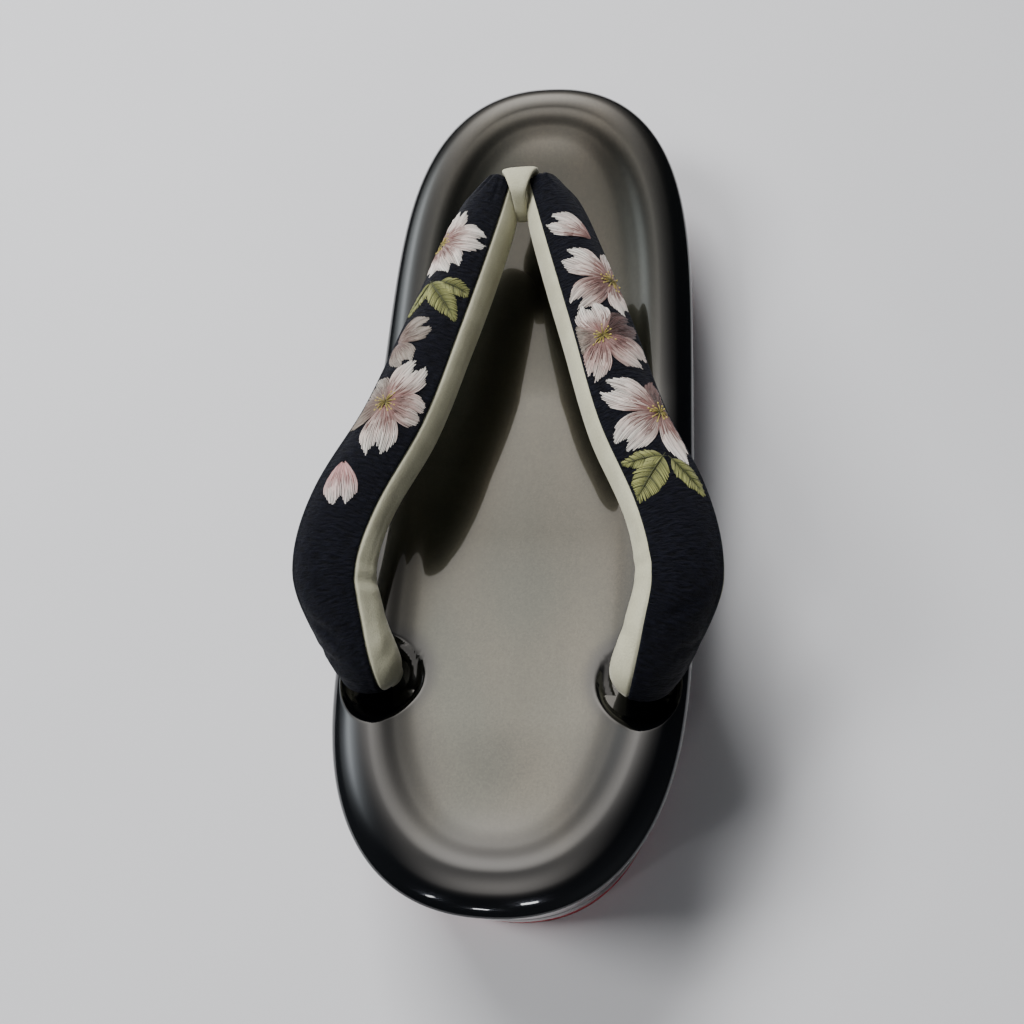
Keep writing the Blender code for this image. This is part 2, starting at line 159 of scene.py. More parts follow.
# A ring of a layer's side: height as a share of the layer, flare share, rounding share
Edge = namedtuple("Edge", "height flare round")
OUTSOLE_EDGE = (
    Edge(0.00, 1.00, 0.25),
    Edge(0.15, 1.00, 0.00),
    Edge(0.88, 0.94, 0.00),
    Edge(1.00, 0.94, 0.25),
)
LOWER_EDGE = (
    Edge(0.00, 0.90, 1.00),
    Edge(0.06, 0.89, 0.55),
    Edge(0.18, 0.88, 0.30),
    Edge(0.50, 0.82, 0.00),
    Edge(0.82, 0.78, 0.25),
    Edge(0.94, 0.77, 0.50),
    Edge(1.00, 0.76, 0.95),
)
WEDGE_EDGE = (
    Edge(0.00, 0.76, 1.00),
    Edge(0.02, 0.75, 0.55),
    Edge(0.06, 0.74, 0.25),
    Edge(0.22, 0.68, 0.00),
    Edge(0.60, 0.50, 0.20),
    Edge(0.88, 0.32, 0.00),
    Edge(0.96, 0.28, 0.20),
    Edge(0.99, 0.27, 0.50),
    Edge(1.00, 0.26, 0.90),
)
PIPING_EDGE = (
    Edge(0.00, 0.12, 0.80),
    Edge(0.14, 0.08, 0.32),
    Edge(0.50, 0.06, 0.02),
    Edge(0.86, 0.08, 0.32),
    Edge(1.00, 0.12, 0.80),
)

# The heel lift's section from the middle of its underside round its edge: out as a share of the plan, and
# up as a share of its thickness
Plate = namedtuple("Plate", "out up")
LIFT_PLATE = (
    Plate(0.00, 0.00),
    Plate(0.85, 0.00),
    Plate(0.99, 0.00),
    Plate(1.00, 0.06),
    Plate(1.00, 0.94),
    Plate(0.99, 1.00),
    Plate(0.85, 1.00),
    Plate(0.00, 1.00),
)

# The board's top from its lower edge to the dish's floor: set in from the outline, and risen from the
# board's underside, in shares of the rim's width and height, then of the dish's run and depth
Rim = namedtuple("Rim", "set_in rise")
BOARD_RIM = (
    Rim(0.10, 0.00),
    Rim(0.01, 0.09),
    Rim(0.00, 0.20),
    Rim(0.08, 0.42),
    Rim(0.26, 0.66),
    Rim(0.56, 0.89),
    Rim(1.00, 1.00),
)
Dish = namedtuple("Dish", "set_in sink")
BOARD_DISH = (
    Dish(0.10, 0.10),
    Dish(0.24, 0.42),
    Dish(0.42, 0.74),
    Dish(0.68, 0.93),
    Dish(1.00, 1.00),
)

# A section of a strap: place from the joint to the hole, out as a share of the spread, up as a share of
# the rise, width and depth as shares of the strap's, and how far its cover turns out, in degrees
Section = namedtuple("Section", "along out up width depth turn")
STRAP_FRONT = (
    Section(0.00, 0.00, 0.80, 0.53, 0.95, 0),
    Section(0.06, 0.09, 0.83, 0.73, 1.00, 0),
    Section(0.18, 0.22, 0.90, 0.84, 0.98, 0),
    Section(0.37, 0.42, 0.97, 0.93, 0.87, 0),
    Section(0.57, 0.63, 1.00, 0.97, 0.75, -3),
    Section(0.75, 0.90, 1.00, 0.98, 0.66, -4),
)
STRAP_REAR = (
    Section(0.87, 0.91, 0.88, 0.96, 0.66, 4),
    Section(0.95, 0.55, 0.62, 0.86, 0.72, 16),
    Section(1.01, 0.12, 0.28, 0.74, 0.80, 32),
)

# A section of the thong: ahead and up from the joint's middle as shares of the tip's half height, width
# and depth as shares from the tube to the band, and its share of the lean
Loop = namedtuple("Loop", "ahead up width depth lean")
THONG_LOOP = (
    Loop(1.34, -1.45, 0.00, 0.00, 0.30),
    Loop(0.96, -0.98, 0.05, 0.15, 0.70),
    Loop(0.60, -0.66, 0.40, 0.70, 1.00),
    Loop(0.45, -0.20, 0.85, 1.00, 1.00),
    Loop(0.42, 0.42, 1.00, 1.00, 1.00),
    Loop(0.24, 0.92, 0.96, 1.00, 1.00),
    Loop(-0.12, 1.07, 0.62, 1.00, 1.00),
    Loop(-0.60, 0.96, 0.20, 1.00, 0.94),
    Loop(-0.84, 0.42, 0.02, 1.00, 0.88),
    Loop(-0.84, -0.10, 0.00, 1.00, 0.88),
)


# Heights of the layers along the sole
def power_share(value, start, end, curve):
    """How far a value has gone from start to end, from 0 to 1, bent by a power."""
    return np.clip((value - start) / (end - start), 0.0, 1.0) ** curve


def outsole_bottom(y):
    toe = TOE_SPRING * power_share(y, FLAT_FRONT, LENGTH / 2, TOE_SPRING_CURVE)
    heel = power_share(y, FLAT_BACK, LIFT_LENGTH - LENGTH / 2, HEEL_RISE_CURVE)
    return toe + heel * (LIFT_THICKNESS + CLEARANCE)


def outsole_top(y):
    return outsole_bottom(y) + OUTSOLE_THICKNESS


def lower_bottom(y):
    return outsole_top(y) + CLEARANCE


def lower_top(y):
    return lower_bottom(y) + LOWER_HEEL + (LOWER_TOE - LOWER_HEEL) * (y / LENGTH + 0.5)


def wedge_bottom(y):
    return lower_top(y) + CLEARANCE


def wedge_top(y):
    climb = power_share(y, WEDGE_BREAK, -LENGTH / 2, WEDGE_CURVE)
    return wedge_bottom(y) + WEDGE_TOE + (WEDGE_HEEL - WEDGE_TOE) * climb


def piping_bottom(y):
    return wedge_top(y) + CLEARANCE


def piping_top(y):
    return piping_bottom(y) + PIPING_THICKNESS


def rim_bottom(y):
    return piping_top(y) + CLEARANCE


def rim_top(y):
    return rim_bottom(y) + RIM_HEIGHT


def footbed(y):
    return rim_top(y) - DISH_DEPTH


# Mesh helpers
def curve_through(rows, steps, reach=2):
    """Rows of numbers along a smooth curve; the first few columns give the distance between rows."""
    rows = np.array(rows, float)
    gaps = np.linalg.norm(np.diff(rows[:, :reach], axis=0), axis=1)
    marks = np.concatenate(([0.0], np.cumsum(gaps)))
    slopes = []
    for index in range(len(rows)):
        left = max(0, index - 1)
        right = min(len(rows) - 1, index + 1)
        slopes.append((rows[right] - rows[left]) / (marks[right] - marks[left]))
    result = []
    for index in range(len(rows) - 1):
        span = marks[index + 1] - marks[index]
        for step in range(steps):
            t = step / steps
            start = rows[index] * (1 + 2 * t) * (1 - t) ** 2 + slopes[index] * span * t * (1 - t) ** 2
            end = rows[index + 1] * (3 - 2 * t) * t**2 - slopes[index + 1] * span * t**2 * (1 - t)
            result.append(start + end)
    result.append(rows[-1])
    return np.array(result)


def plan_share(along):
    """The plan's width as a share of its widest, at a share of the way from its middle to an end."""
    return (1 - np.minimum(1.0, np.abs(along)) ** END_SQUARENESS) ** (1 / SIDE_ROUNDNESS)


def plan_ring(side, toe, heel, height, angles=PLAN_ANGLES):
    """Points round the plan, drawn in from the board's edge, each at the height for its y."""
    along = np.cos(angles)
    reach = LENGTH / 2 - np.where(along > 0, toe, heel)
    y = reach * along
    x = np.copysign((WIDTH / 2 - side) * plan_share(along), np.sin(angles))
    return np.stack((x, y, height(y)), axis=1)


def set_in_ring(set_in, height, angles=PLAN_ANGLES):
    return plan_ring(set_in, set_in, set_in, height, angles)


def layer_rings(edges, bottom, top):
    """Rings of a layer's side, from its lower edge to its upper edge."""
    rings = []
    for height, flare, rounding in curve_through(edges, PROFILE_STEPS, 3):
        inset = rounding * EDGE_ROUND

        def level(y, share=height):
            return bottom(y) + share * (top(y) - bottom(y))

        side = flare * FLARE_SIDE + inset
        toe = TOE_LIP + flare * FLARE_TOE + inset
        heel = flare * FLARE_HEEL + inset
        rings.append(plan_ring(side, toe, heel, level))
    return rings


def flat_rings(height):
    """Rings over the flat of a layer, the last one closed to a line down its middle."""
    return [set_in_ring(set_in, height) for set_in in (*FLAT_RINGS, WIDTH / 2)]


def grid_faces(rows, columns, closed_rows=False):
    """Quads between closed rings of points."""
    faces = []
    for row in range(rows if closed_rows else rows - 1):
        first = row * columns
        second = (row + 1) % rows * columns
        for column in range(columns):
            after = (column + 1) % columns
            faces.append((first + column, first + after, second + after, second + column))
    return faces


def face_mesh(name, points, faces):
    mesh = bpy.data.meshes.new(name)
    mesh.from_pydata([tuple(point) for point in points], [], faces)
    return mesh


def turn_outwards(mesh, merge=0.0):
    """Turns a mesh's faces outwards and shades it smooth, with its doubles merged first where asked."""
    bm = bmesh.new()
    bm.from_mesh(mesh)
    if merge:
        bmesh.ops.remove_doubles(bm, verts=bm.verts, dist=merge)
        bmesh.ops.dissolve_degenerate(bm, edges=bm.edges, dist=merge / 2)
    bmesh.ops.recalc_face_normals(bm, faces=bm.faces)
    bm.to_mesh(mesh)
    bm.free()
    mesh.shade_smooth()


def ring_mesh(name, rings, closed=False):
    """A smooth mesh through rings of points."""
    faces = grid_faces(len(rings), len(rings[0]), closed_rows=closed)
    mesh = face_mesh(name, np.concatenate(rings), faces)
    turn_outwards(mesh, MERGE_WITHIN)
    return mesh


def add_piece(name, mesh, material, stands_for=()):
    """A finished piece that rides with the sandal."""
    piece = bpy.data.objects.new(name, mesh)
    bpy.context.scene.collection.objects.link(piece)
    mesh.materials.clear()
    mesh.materials.append(material)
    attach(piece, "root")
    if stands_for:
        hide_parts(*stands_for)
    return piece


# Materials
def start_material(name):
    material = bpy.data.materials.new(name)
    material.use_nodes = True
    return material, material.node_tree, material.node_tree.nodes["Principled BSDF"]


def put(tree, socket, value):
    """Gives a socket a plain value, or a link from another node's output."""
    if isinstance(value, bpy.types.NodeSocket):
        tree.links.new(value, socket)
    else:
        socket.default_value = value


def fill_sockets(tree, node, **values):
    """Fills a node's sockets by name, with _ for a space."""
    for name, value in values.items():
        put(tree, node.inputs[name.replace("_", " ")], value)


def add_node(tree, kind, settings=None, **values):
    """A node with its settings and its sockets filled."""
    node = tree.nodes.new(kind)
    for name, value in (settings or {}).items():
        setattr(node, name, value)
    fill_sockets(tree, node, **values)
    return node


def add_maths(tree, operation, *values, kind="ShaderNodeMath", output="Value"):
    """The result of a maths node on numbers, vectors and other nodes' outputs."""
    node = add_node(tree, kind, {"operation": operation})
    for socket, value in zip(node.inputs, values):
        put(tree, socket, value)
    return node.outputs[output]


def add_ramp(tree, value, stops):
    """A colour ramp through (place, colour) stops."""
    node = add_node(tree, "ShaderNodeValToRGB", Fac=value)
    ramp = node.color_ramp
    while len(ramp.elements) < len(stops):
        ramp.elements.new(0.5)
    for element, (place, colour) in zip(ramp.elements, stops):
        element.position = place
        element.color = (*colour, 1.0)
    return node.outputs["Color"]


def add_mix(tree, first, second, factor=1.0, way="MULTIPLY"):
    settings = {"data_type": "RGBA", "blend_type": way}
    return add_node(tree, "ShaderNodeMix", settings, Factor=factor, A=first, B=second).outputs["Result"]


def add_range(tree, value, low, high):
    """A value from 0 to 1 spread between two others."""
    return add_node(tree, "ShaderNodeMapRange", To_Min=low, To_Max=high, Value=value).outputs["Result"]


def add_bump(tree, height, strength, distance):
    bump = add_node(tree, "ShaderNodeBump", Strength=strength, Distance=distance, Height=height)
    return bump.outputs["Normal"]


def object_noise(tree, scale, detail, stretch=(1.0, 1.0, 1.0)):
    """Noise in the object's own space, stretched along its axes."""
    place = tree.nodes.new("ShaderNodeTexCoord").outputs["Object"]
    mapping = add_node(tree, "ShaderNodeMapping", Scale=stretch, Vector=place)
    vector = mapping.outputs["Vector"]
    return add_node(tree, "ShaderNodeTexNoise", Scale=scale, Detail=detail, Vector=vector).outputs["Fac"]


# The enamel: its lacquer, its flakes' tones, and the tints that vary them finely and in wide drifts
BLACK_LACQUER = (0.006, 0.007, 0.010)
FLAKE_SCALE = 2600.0
FLAKE_TONES = ((0.0, (0.046, 0.0445, 0.039)), (1.0, (0.068, 0.065, 0.056)))
CLOUD_TINTS = ((0.30, (0.90, 0.90, 0.89)), (0.72, (1.0, 0.99, 0.97)))
DRIFT_TINTS = ((0.36, (0.64, 0.72, 0.68)), (0.64, (1.0, 0.93, 0.84)))
ENAMEL_RUN = (1.0, 0.35, 1.0)


def pearl_enamel():
    """Black enamel with a pearly pigment under a clear, polished coat; a stored attribute mixes the pearly
    tone over the black lacquer, a painted reflection where high and painted shade where low.
    """
    material, tree, shader = start_material("pearl_enamel")
    place = tree.nodes.new("ShaderNodeTexCoord").outputs["Object"]
    flakes = add_node(tree, "ShaderNodeTexVoronoi", {"feature": "F1"}, Scale=FLAKE_SCALE, Vector=place)
    cloud = object_noise(tree, scale=900.0, detail=4.0, stretch=ENAMEL_RUN)
    drift = object_noise(tree, scale=30.0, detail=2.0, stretch=ENAMEL_RUN)
    tone = add_ramp(tree, flakes.outputs["Color"], FLAKE_TONES)
    tone = add_mix(tree, tone, add_ramp(tree, cloud, CLOUD_TINTS))
    tone = add_mix(tree, tone, add_ramp(tree, drift, DRIFT_TINTS))
    # The stored attribute paints reflection where it is high and shade where it is low
    painted_sheen = add_node(tree, "ShaderNodeAttribute", {"attribute_name": "painted_sheen"}).outputs["Fac"]
    fill_sockets(
        tree,
        shader,
        Base_Color=add_mix(tree, (*BLACK_LACQUER, 1.0), tone, factor=painted_sheen, way="MIX"),
        Roughness=add_range(tree, cloud, low=0.15, high=0.20),
        Normal=add_bump(tree, cloud, strength=0.06, distance=0.0001),
        Metallic=0.9,
        Coat_Weight=1.0,
        Coat_Roughness=0.035,
    )
    return material


RUBBER_TONES = ((0.30, (0.38, 0.016, 0.028)), (0.70, (0.48, 0.026, 0.040)))


def red_rubber():
    """Matt red sheet rubber with a fine tooth."""
    material, tree, shader = start_material("red_rubber")
    tooth = object_noise(tree, scale=1500.0, detail=3.0)
    patches = object_noise(tree, scale=45.0, detail=3.0)
    fill_sockets(
        tree,
        shader,
        Base_Color=add_ramp(tree, patches, RUBBER_TONES),
        Roughness=add_range(tree, tooth, low=0.46, high=0.66),
        Normal=add_bump(tree, tooth, strength=0.35, distance=0.0002),
    )
    return material


VELVET_TONES = ((0.30, (0.50, 0.485, 0.35)), (0.70, (0.61, 0.595, 0.44)))
PILE_TINTS = ((0.25, (0.82, 0.82, 0.80)), (0.75, (1.0, 1.0, 1.0)))


def cream_velvet():
    """Short-piled cream velveteen."""
    material, tree, shader = start_material("cream_velvet")
    pile = object_noise(tree, scale=2600.0, detail=4.0)
    brushed = object_noise(tree, scale=160.0, detail=4.0)
    fill_sockets(
        tree,
        shader,
        Base_Color=add_mix(tree, add_ramp(tree, brushed, VELVET_TONES), add_ramp(tree, pile, PILE_TINTS)),
        Normal=add_bump(tree, pile, strength=0.45, distance=0.00025),
        Roughness=0.9,
        Sheen_Weight=0.55,
        Sheen_Roughness=0.4,
        Sheen_Tint=(1.0, 0.97, 0.85, 1.0),
    )
    return material


# The crepe's colour follows its crests: crests painted lighter, hollows painted darker as painted shade
CREPE_CREST_SHADING = ((0.36, (0.0005, 0.0006, 0.0011)), (0.62, (0.0058, 0.0064, 0.0112)))
CREST_STRETCH = (1.0, 0.30, 1.0)
CREST_SHARE = 0.75
GRAIN_SHARE = 0.25


def navy_crepe():
    """Blue-black silk crepe, its small uneven crests running across the strap, painted lighter on the
    crests and darker in the hollows as painted light and shade.
    """
    material, tree, shader = start_material("navy_crepe")
    lay = add_node(tree, "ShaderNodeUVMap", {"uv_map": "cloth"}).outputs["UV"]
    across = add_node(tree, "ShaderNodeMapping", Scale=CREST_STRETCH, Vector=lay).outputs["Vector"]
    crests = add_node(tree, "ShaderNodeTexNoise", Scale=15.0, Detail=3.0, Roughness=0.55, Vector=across)
    grains = add_node(tree, "ShaderNodeTexNoise", Scale=44.0, Detail=2.0, Vector=lay)
    fine = add_maths(tree, "MULTIPLY", grains.outputs["Fac"], GRAIN_SHARE)
    height = add_maths(tree, "MULTIPLY_ADD", crests.outputs["Fac"], CREST_SHARE, fine)
    fill_sockets(
        tree,
        shader,
        # Painted light on the crests and painted shade in the hollows, keyed to the crests' height
        Base_Color=add_ramp(tree, height, CREPE_CREST_SHADING),
        Normal=add_bump(tree, height, strength=1.0, distance=0.0013),
        Roughness=0.7,
        Specular_IOR_Level=0.2,
        Sheen_Weight=0.02,
        Sheen_Roughness=0.5,
        Sheen_Tint=(0.55, 0.62, 0.9, 1.0),
    )
    return material


STRAND_TINTS = ((0.30, (0.84, 0.84, 0.84)), (0.70, (1.0, 1.0, 1.0)))


def silk_thread():
    """Glossy embroidery silk that takes each stitch's own dye."""
    material, tree, shader = start_material("silk_thread")
    dye = add_node(tree, "ShaderNodeAttribute", {"attribute_name": "dye"}).outputs["Color"]
    strands = object_noise(tree, scale=5200.0, detail=2.0)
    colour = add_mix(tree, dye, add_ramp(tree, strands, STRAND_TINTS))
    fill_sockets(tree, shader, Base_Color=colour, Roughness=0.38, Sheen_Weight=0.15)
    return material


# Painted sheen and shade on the enamel, standing in for its reflections: how much pearly tone shows on the
# layers' sides, on the rim at heel and toe, in the strap hollows, and over the dish, where it starts so far
# in from the edge and is full so far in. The bright dish is painted reflection; dark rim, heel and hollows
# are painted shade.
SIDE_PAINTED_SHEEN = 0.30
HEEL_RIM_PAINTED_SHEEN = 0.05
TOE_RIM_PAINTED_SHEEN = 0.45
HOLLOW_PAINTED_SHEEN = 0.1
HOLLOW_FADE = 1.5
SHEEN_START = 0.0060
SHEEN_FULL = 0.0160
HEEL_SHEEN_START = 0.0090
HEEL_SHEEN_FULL = 0.0290
HEEL_FADE_START = 0.015
HEEL_FADE_FULL = 0.095


def eased(value, start, end):
    """How far a value has gone from start to end, from 0 to 1, slow at both."""
    share = np.clip((value - start) / (end - start), 0.0, 1.0)
    return share * share * (3 - 2 * share)


def board_painted_sheen(places):
    """The painted sheen over the board: full in the dish as painted reflection, almost none on rim, heel
    and strap hollows as painted shade.
    """
    x, y = places[:, 0], places[:, 1]
    half = plan_share(y / (LENGTH / 2)) * WIDTH / 2
    from_edge = np.minimum(half - np.abs(x), LENGTH / 2 - np.abs(y))
    # The heel painted darker further in from its edge, as painted shade
    heel = eased(-y, HEEL_FADE_START, HEEL_FADE_FULL)
    nearest = SHEEN_START + (HEEL_SHEEN_START - SHEEN_START) * heel
    painted_sheen = eased(from_edge, nearest, SHEEN_FULL + (HEEL_SHEEN_FULL - SHEEN_FULL) * heel)
    # Painted shade round the strap hollows
    for side in (1, -1):
        from_hole = np.hypot(x - side * STRAP_HOLE_X, y - STRAP_HOLE_Y)
        outside = eased(from_hole, RECESS_RADIUS, RECESS_RADIUS * HOLLOW_FADE)
        painted_sheen *= HOLLOW_PAINTED_SHEEN + (1 - HOLLOW_PAINTED_SHEEN) * outside
    # The rim painted darkest at the heel and lighter towards the toe, as painted shade and painted
    # reflection
    rim = HEEL_RIM_PAINTED_SHEEN + (TOE_RIM_PAINTED_SHEEN - HEEL_RIM_PAINTED_SHEEN) * eased(y, 0.0, LENGTH / 2)
    return rim + (1 - rim) * painted_sheen


# The layers' sides get one even level, painted darker than the footbed's top as painted shade
def side_painted_sheen(places):
    return np.full(len(places), SIDE_PAINTED_SHEEN)


def paint_sheen(piece, strength):
    """Stores how much painted sheen each place of an enamelled piece has: its pearly tone as painted
    reflection, low values as painted shade.
    """
    mesh = piece.data
    places = np.array([vertex.co for vertex in mesh.vertices])
    mesh.attributes.new("painted_sheen", "FLOAT", "POINT").data.foreach_set("value", strength(places))


def make_layer(name, edges, bottom, top, material):
    """A full-length layer: its underside, its flared side and its top."""
    rings = flat_rings(bottom)[::-1] + layer_rings(edges, bottom, top) + flat_rings(top)
    return add_piece(name + "_smooth", ring_mesh(name + "_smooth", rings), material, (name,))


def make_heel_lift(material):
    """The half-moon plate under the heel, its edge eased a little."""
    front = LIFT_LENGTH - LENGTH / 2
    edge = OUTSOLE_EDGE[0]
    inset = edge.round * EDGE_ROUND
    side = edge.flare * FLARE_SIDE + inset
    outline = plan_ring(side, side, edge.flare * FLARE_HEEL + inset, outsole_bottom)
    rear = outline[outline[:, 1] < front]
    half = rear[:, 0].max()
    plan = [(half, front)] + [(x, y) for x, y, _ in rear] + [(-half, front)]
    plan += [(half * share, front) for share in np.linspace(-1, 1, LIFT_FRONT_POINTS)[1:-1]]
    plan = np.array(plan)
    middle = np.array((0.0, (front - LENGTH / 2) / 2))
    rings = []
    for plate in LIFT_PLATE:
        flat = middle + (plan - middle) * plate.out
        rings.append(np.column_stack((flat, np.full(len(flat), plate.up * LIFT_THICKNESS))))
    mesh = ring_mesh("heel_lift_smooth", rings)
    return add_piece("heel_lift_smooth", mesh, material, ("heel_lift",))


def soft_floor(height, floor, blend):
    """The lower of two heights, joined with a soft lip."""
    mix = np.clip(0.5 + 0.5 * (floor - height) / blend, 0.0, 1.0)
    return floor * (1 - mix) + height * mix - blend * mix * (1 - mix)


def bored(z, distance, mouth, radius, reach, lip):
    """Heights with a hole sunk into them from the height of its mouth, where they are within its reach."""
    bore = mouth - (radius + HOLE_EASE - distance) * HOLE_SLOPE
    return np.where(distance < reach, soft_floor(z, np.maximum(bore, mouth - NECK_DEPTH), lip), z)


def board_height(points):
    """Presses the strap recesses and the three holes into the board's top."""
    x, y, z = points.T
    floor = rim_bottom(STRAP_HOLE_Y) + RECESS_FLOOR
    slope = (rim_top(STRAP_HOLE_Y) - floor) / RECESS_DRAFT
    for side in (1, -1):
        distance = np.hypot(x - side * STRAP_HOLE_X, y - STRAP_HOLE_Y)
        cup = floor + np.maximum(0.0, distance - RECESS_RADIUS + RECESS_DRAFT) * slope / 2
        z = soft_floor(z, cup, RECESS_LIP)
        z = bored(z, distance, floor, NECK_RADIUS, RECESS_RADIUS, STRAP_HOLE_LIP)
    distance = np.hypot(x, y - THONG_HOLE_Y)
    z = bored(z, distance, footbed(THONG_HOLE_Y), THONG_RADIUS, THONG_HOLE_REACH, THONG_HOLE_LIP)
    return np.stack((x, y, z), axis=1)


def heel_easing(y):
    """How far the board's top is let down to round off the bend at the front of the heel lift."""
    bend = LIFT_LENGTH - LENGTH / 2
    slope = HEEL_RISE_CURVE * (LIFT_THICKNESS + CLEARANCE) / (FLAT_BACK - bend)
    return slope * HEEL_EASE_RUN / 4 * np.maximum(0.0, 1 - np.abs(y - bend) / HEEL_EASE_RUN) ** 2


def make_board(material):
    """The top board: rim, dish, strap hollows and holes in one skin."""
    footbed_rise = RIM_HEIGHT - DISH_DEPTH
    profile = [(rim.set_in * RIM_WIDTH, rim.rise * RIM_HEIGHT) for rim in BOARD_RIM]
    for dish in BOARD_DISH:
        profile.append((RIM_WIDTH + dish.set_in * DISH_RUN, RIM_HEIGHT - dish.sink * DISH_DEPTH))
    profile.append((WIDTH / 2, footbed_rise))
    rings = [set_in_ring(inset, rim_bottom, BOARD_ANGLES) for inset in UNDERSIDE_RINGS]
    for set_in, rise in curve_through(profile, BOARD_STEPS):

        def level(y, rise=rise):
            return rim_bottom(y) + rise - heel_easing(y) * min(1.0, rise / footbed_rise)

        rings.append(board_height(set_in_ring(min(set_in, WIDTH / 2), level, BOARD_ANGLES)))
    mesh = ring_mesh("footbed_board", rings)
    return add_piece("footbed_board", mesh, material, ("top_board",))


def make_piping(material):
    """The thin rolled edge between wedge and board, a closed frame."""
    inside = PIPING_EDGE[0].flare * FLARE_SIDE + PIPING_WIDTH
    rings = layer_rings(PIPING_EDGE, piping_bottom, piping_top)
    rings.append(set_in_ring(inside, piping_top))
    rings.append(set_in_ring(inside, piping_bottom))
    mesh = ring_mesh("edge_piping", rings, closed=True)
    return add_piece("edge_piping", mesh, material, ("piping",))


# Straps
def joint_y():
    return THONG_HOLE_Y - JOINT_SETBACK


def tip_half_height():
    return STRAP_FRONT[0].depth * STRAP_THICKNESS / 2


def joint_height():
    return footbed(joint_y()) + STRAP_FRONT[0].up * STRAP_RISE


def lean_at(y):
    return JOINT_LEAN * power_share(y, STRAP_HOLE_Y, joint_y(), LEAN_CURVE)


def strap_stations():
    """Rows of x, y, z, half width, half depth and turn, from the joint down into the hole."""
    tip_x = STRAP_FRONT[0].width * STRAP_WIDTH / 2
    rows = []
    for sections, start_x in ((STRAP_FRONT, tip_x), (STRAP_REAR, STRAP_HOLE_X)):
        for section in sections:
            y = joint_y() + section.along * (STRAP_HOLE_Y - joint_y())
            x = start_x + section.out * (STRAP_SPREAD - start_x)
            width = section.width * STRAP_WIDTH / 2
            depth = section.depth * STRAP_THICKNESS / 2
            turn = math.radians(section.turn)
            rows.append((x, y, footbed(y) + section.up * STRAP_RISE, width, depth, turn))
    neck = piping_bottom(STRAP_HOLE_Y - NECK_RADIUS)
    for height in (neck + NECK_DEPTH, neck):
        rows.append((STRAP_HOLE_X, STRAP_HOLE_Y, height, NECK_RADIUS, NECK_RADIUS, turn))
    return rows


def thong_stations():
    """Rows of x, y, z, half width, half depth and turn, from the hole up over the joint and down behind."""
    rows = []
    for height in (piping_bottom(THONG_HOLE_Y + THONG_RADIUS), rim_top(THONG_HOLE_Y)):
        rows.append((0.0, THONG_HOLE_Y, height, THONG_RADIUS, THONG_RADIUS, 0.0))
    unit = tip_half_height()
    for loop in THONG_LOOP:
        narrowest = THONG_RADIUS if loop.ahead > 0 else BAND_TAIL_WIDTH / 2
        width = narrowest + loop.width * (BAND_WIDTH / 2 - narrowest)
        depth = THONG_RADIUS + loop.depth * (BAND_THICKNESS / 2 - THONG_RADIUS)
        y = joint_y() + loop.ahead * unit
        rows.append((-loop.lean * JOINT_LEAN, y, joint_height() + loop.up * unit, width, depth, 0.0))
    return rows


# A section's frame: its middle, which way its cover and its outer edge face, and its half sizes
Frame = namedtuple("Frame", "middle cover outer width depth")


def frames_along(stations, steps, first_up):
    """A frame for each row, carried along the path without twist and then turned."""
    rows = curve_through(stations, steps, 3)
    frames = []
    up = np.array(first_up, float)
    for index, row in enumerate(rows):
        before = rows[max(0, index - steps), :3]
        after = rows[min(len(rows) - 1, index + steps), :3]
        ahead = (after - before) / np.linalg.norm(after - before)
        up = up - ahead * up.dot(ahead)
        up /= np.linalg.norm(up)
        out = np.cross(ahead, up)
        if out[0] < 0:
            out = -out
        width, depth, turn = row[3:]
        cover = up * math.cos(turn) + out * math.sin(turn)
        outer = out * math.cos(turn) - up * math.sin(turn)
        frames.append(Frame(row[:3], cover, outer, width, depth))
    return frames


def strap_frames():
    """The right strap's frames, with its rounded tip before them."""
    frames = frames_along(strap_stations(), STRAP_STEPS, (0, 0, 1))
    first = frames[0]
    back = frames[1].middle - first.middle
    back /= np.linalg.norm(back)
    tips = []
    for angle in np.linspace(0, math.pi / 2, TIP_STEPS)[1:-1]:
        middle = first.middle - back * TIP_ROUND * math.cos(angle)
        size = math.sin(angle)
        tips.append(Frame(middle, first.cover, first.outer, first.width * size, first.depth * size))
    return tips + frames


def degrees_round(cover_columns, lining_columns):
    """Degrees round a strap for each column, over the cover from the outer seam, then round the lining."""
    cover = np.linspace(COVER_SEAM_OUTER, COVER_SEAM_INNER, cover_columns + 1)[:-1]
    lining = np.linspace(COVER_SEAM_INNER, COVER_SEAM_OUTER + 360, lining_columns + 1)[:-1]
    return np.concatenate((cover, lining))


def strap_grid():
    """Points of the right strap, one row a section, drawn in a little to leave room for the filling."""
    angles = np.radians(degrees_round(COVER_COLUMNS, LINING_COLUMNS))
    grid = []
    for section in strap_frames():
        points = section.middle + np.outer((section.width - STRAP_SLIM) * np.cos(angles), section.outer)
        points += np.outer((section.depth - STRAP_SLIM) * np.sin(angles), section.cover)
        points[:, 0] = np.maximum(points[:, 0], JOINT_HALF_GAP)
        grid.append(points)
    return np.array(grid)


# Padding of the straps: cloth simulated at a larger scale, held at its seams and near its ends
SIM_SCALE = 10.0
SIM_FRAMES = 20
MOST_SWELL = 0.0012
SWELL_EVENINGS = 12
TIP_ROWS_HELD = 10
HOLE_ROWS_HELD = 16
SEAM_HOLD = 0.85
LOOSE_HOLD = 0.04
CLOTH_SETTINGS = {
    "quality": 6,
    "mass": 0.05,
    "tension_stiffness": 12,
    "compression_stiffness": 12,
    "shear_stiffness": 4,
    "bending_stiffness": 0.05,
    "use_pressure": True,
    "uniform_pressure_force": 4,
    "vertex_group_mass": "held",
}


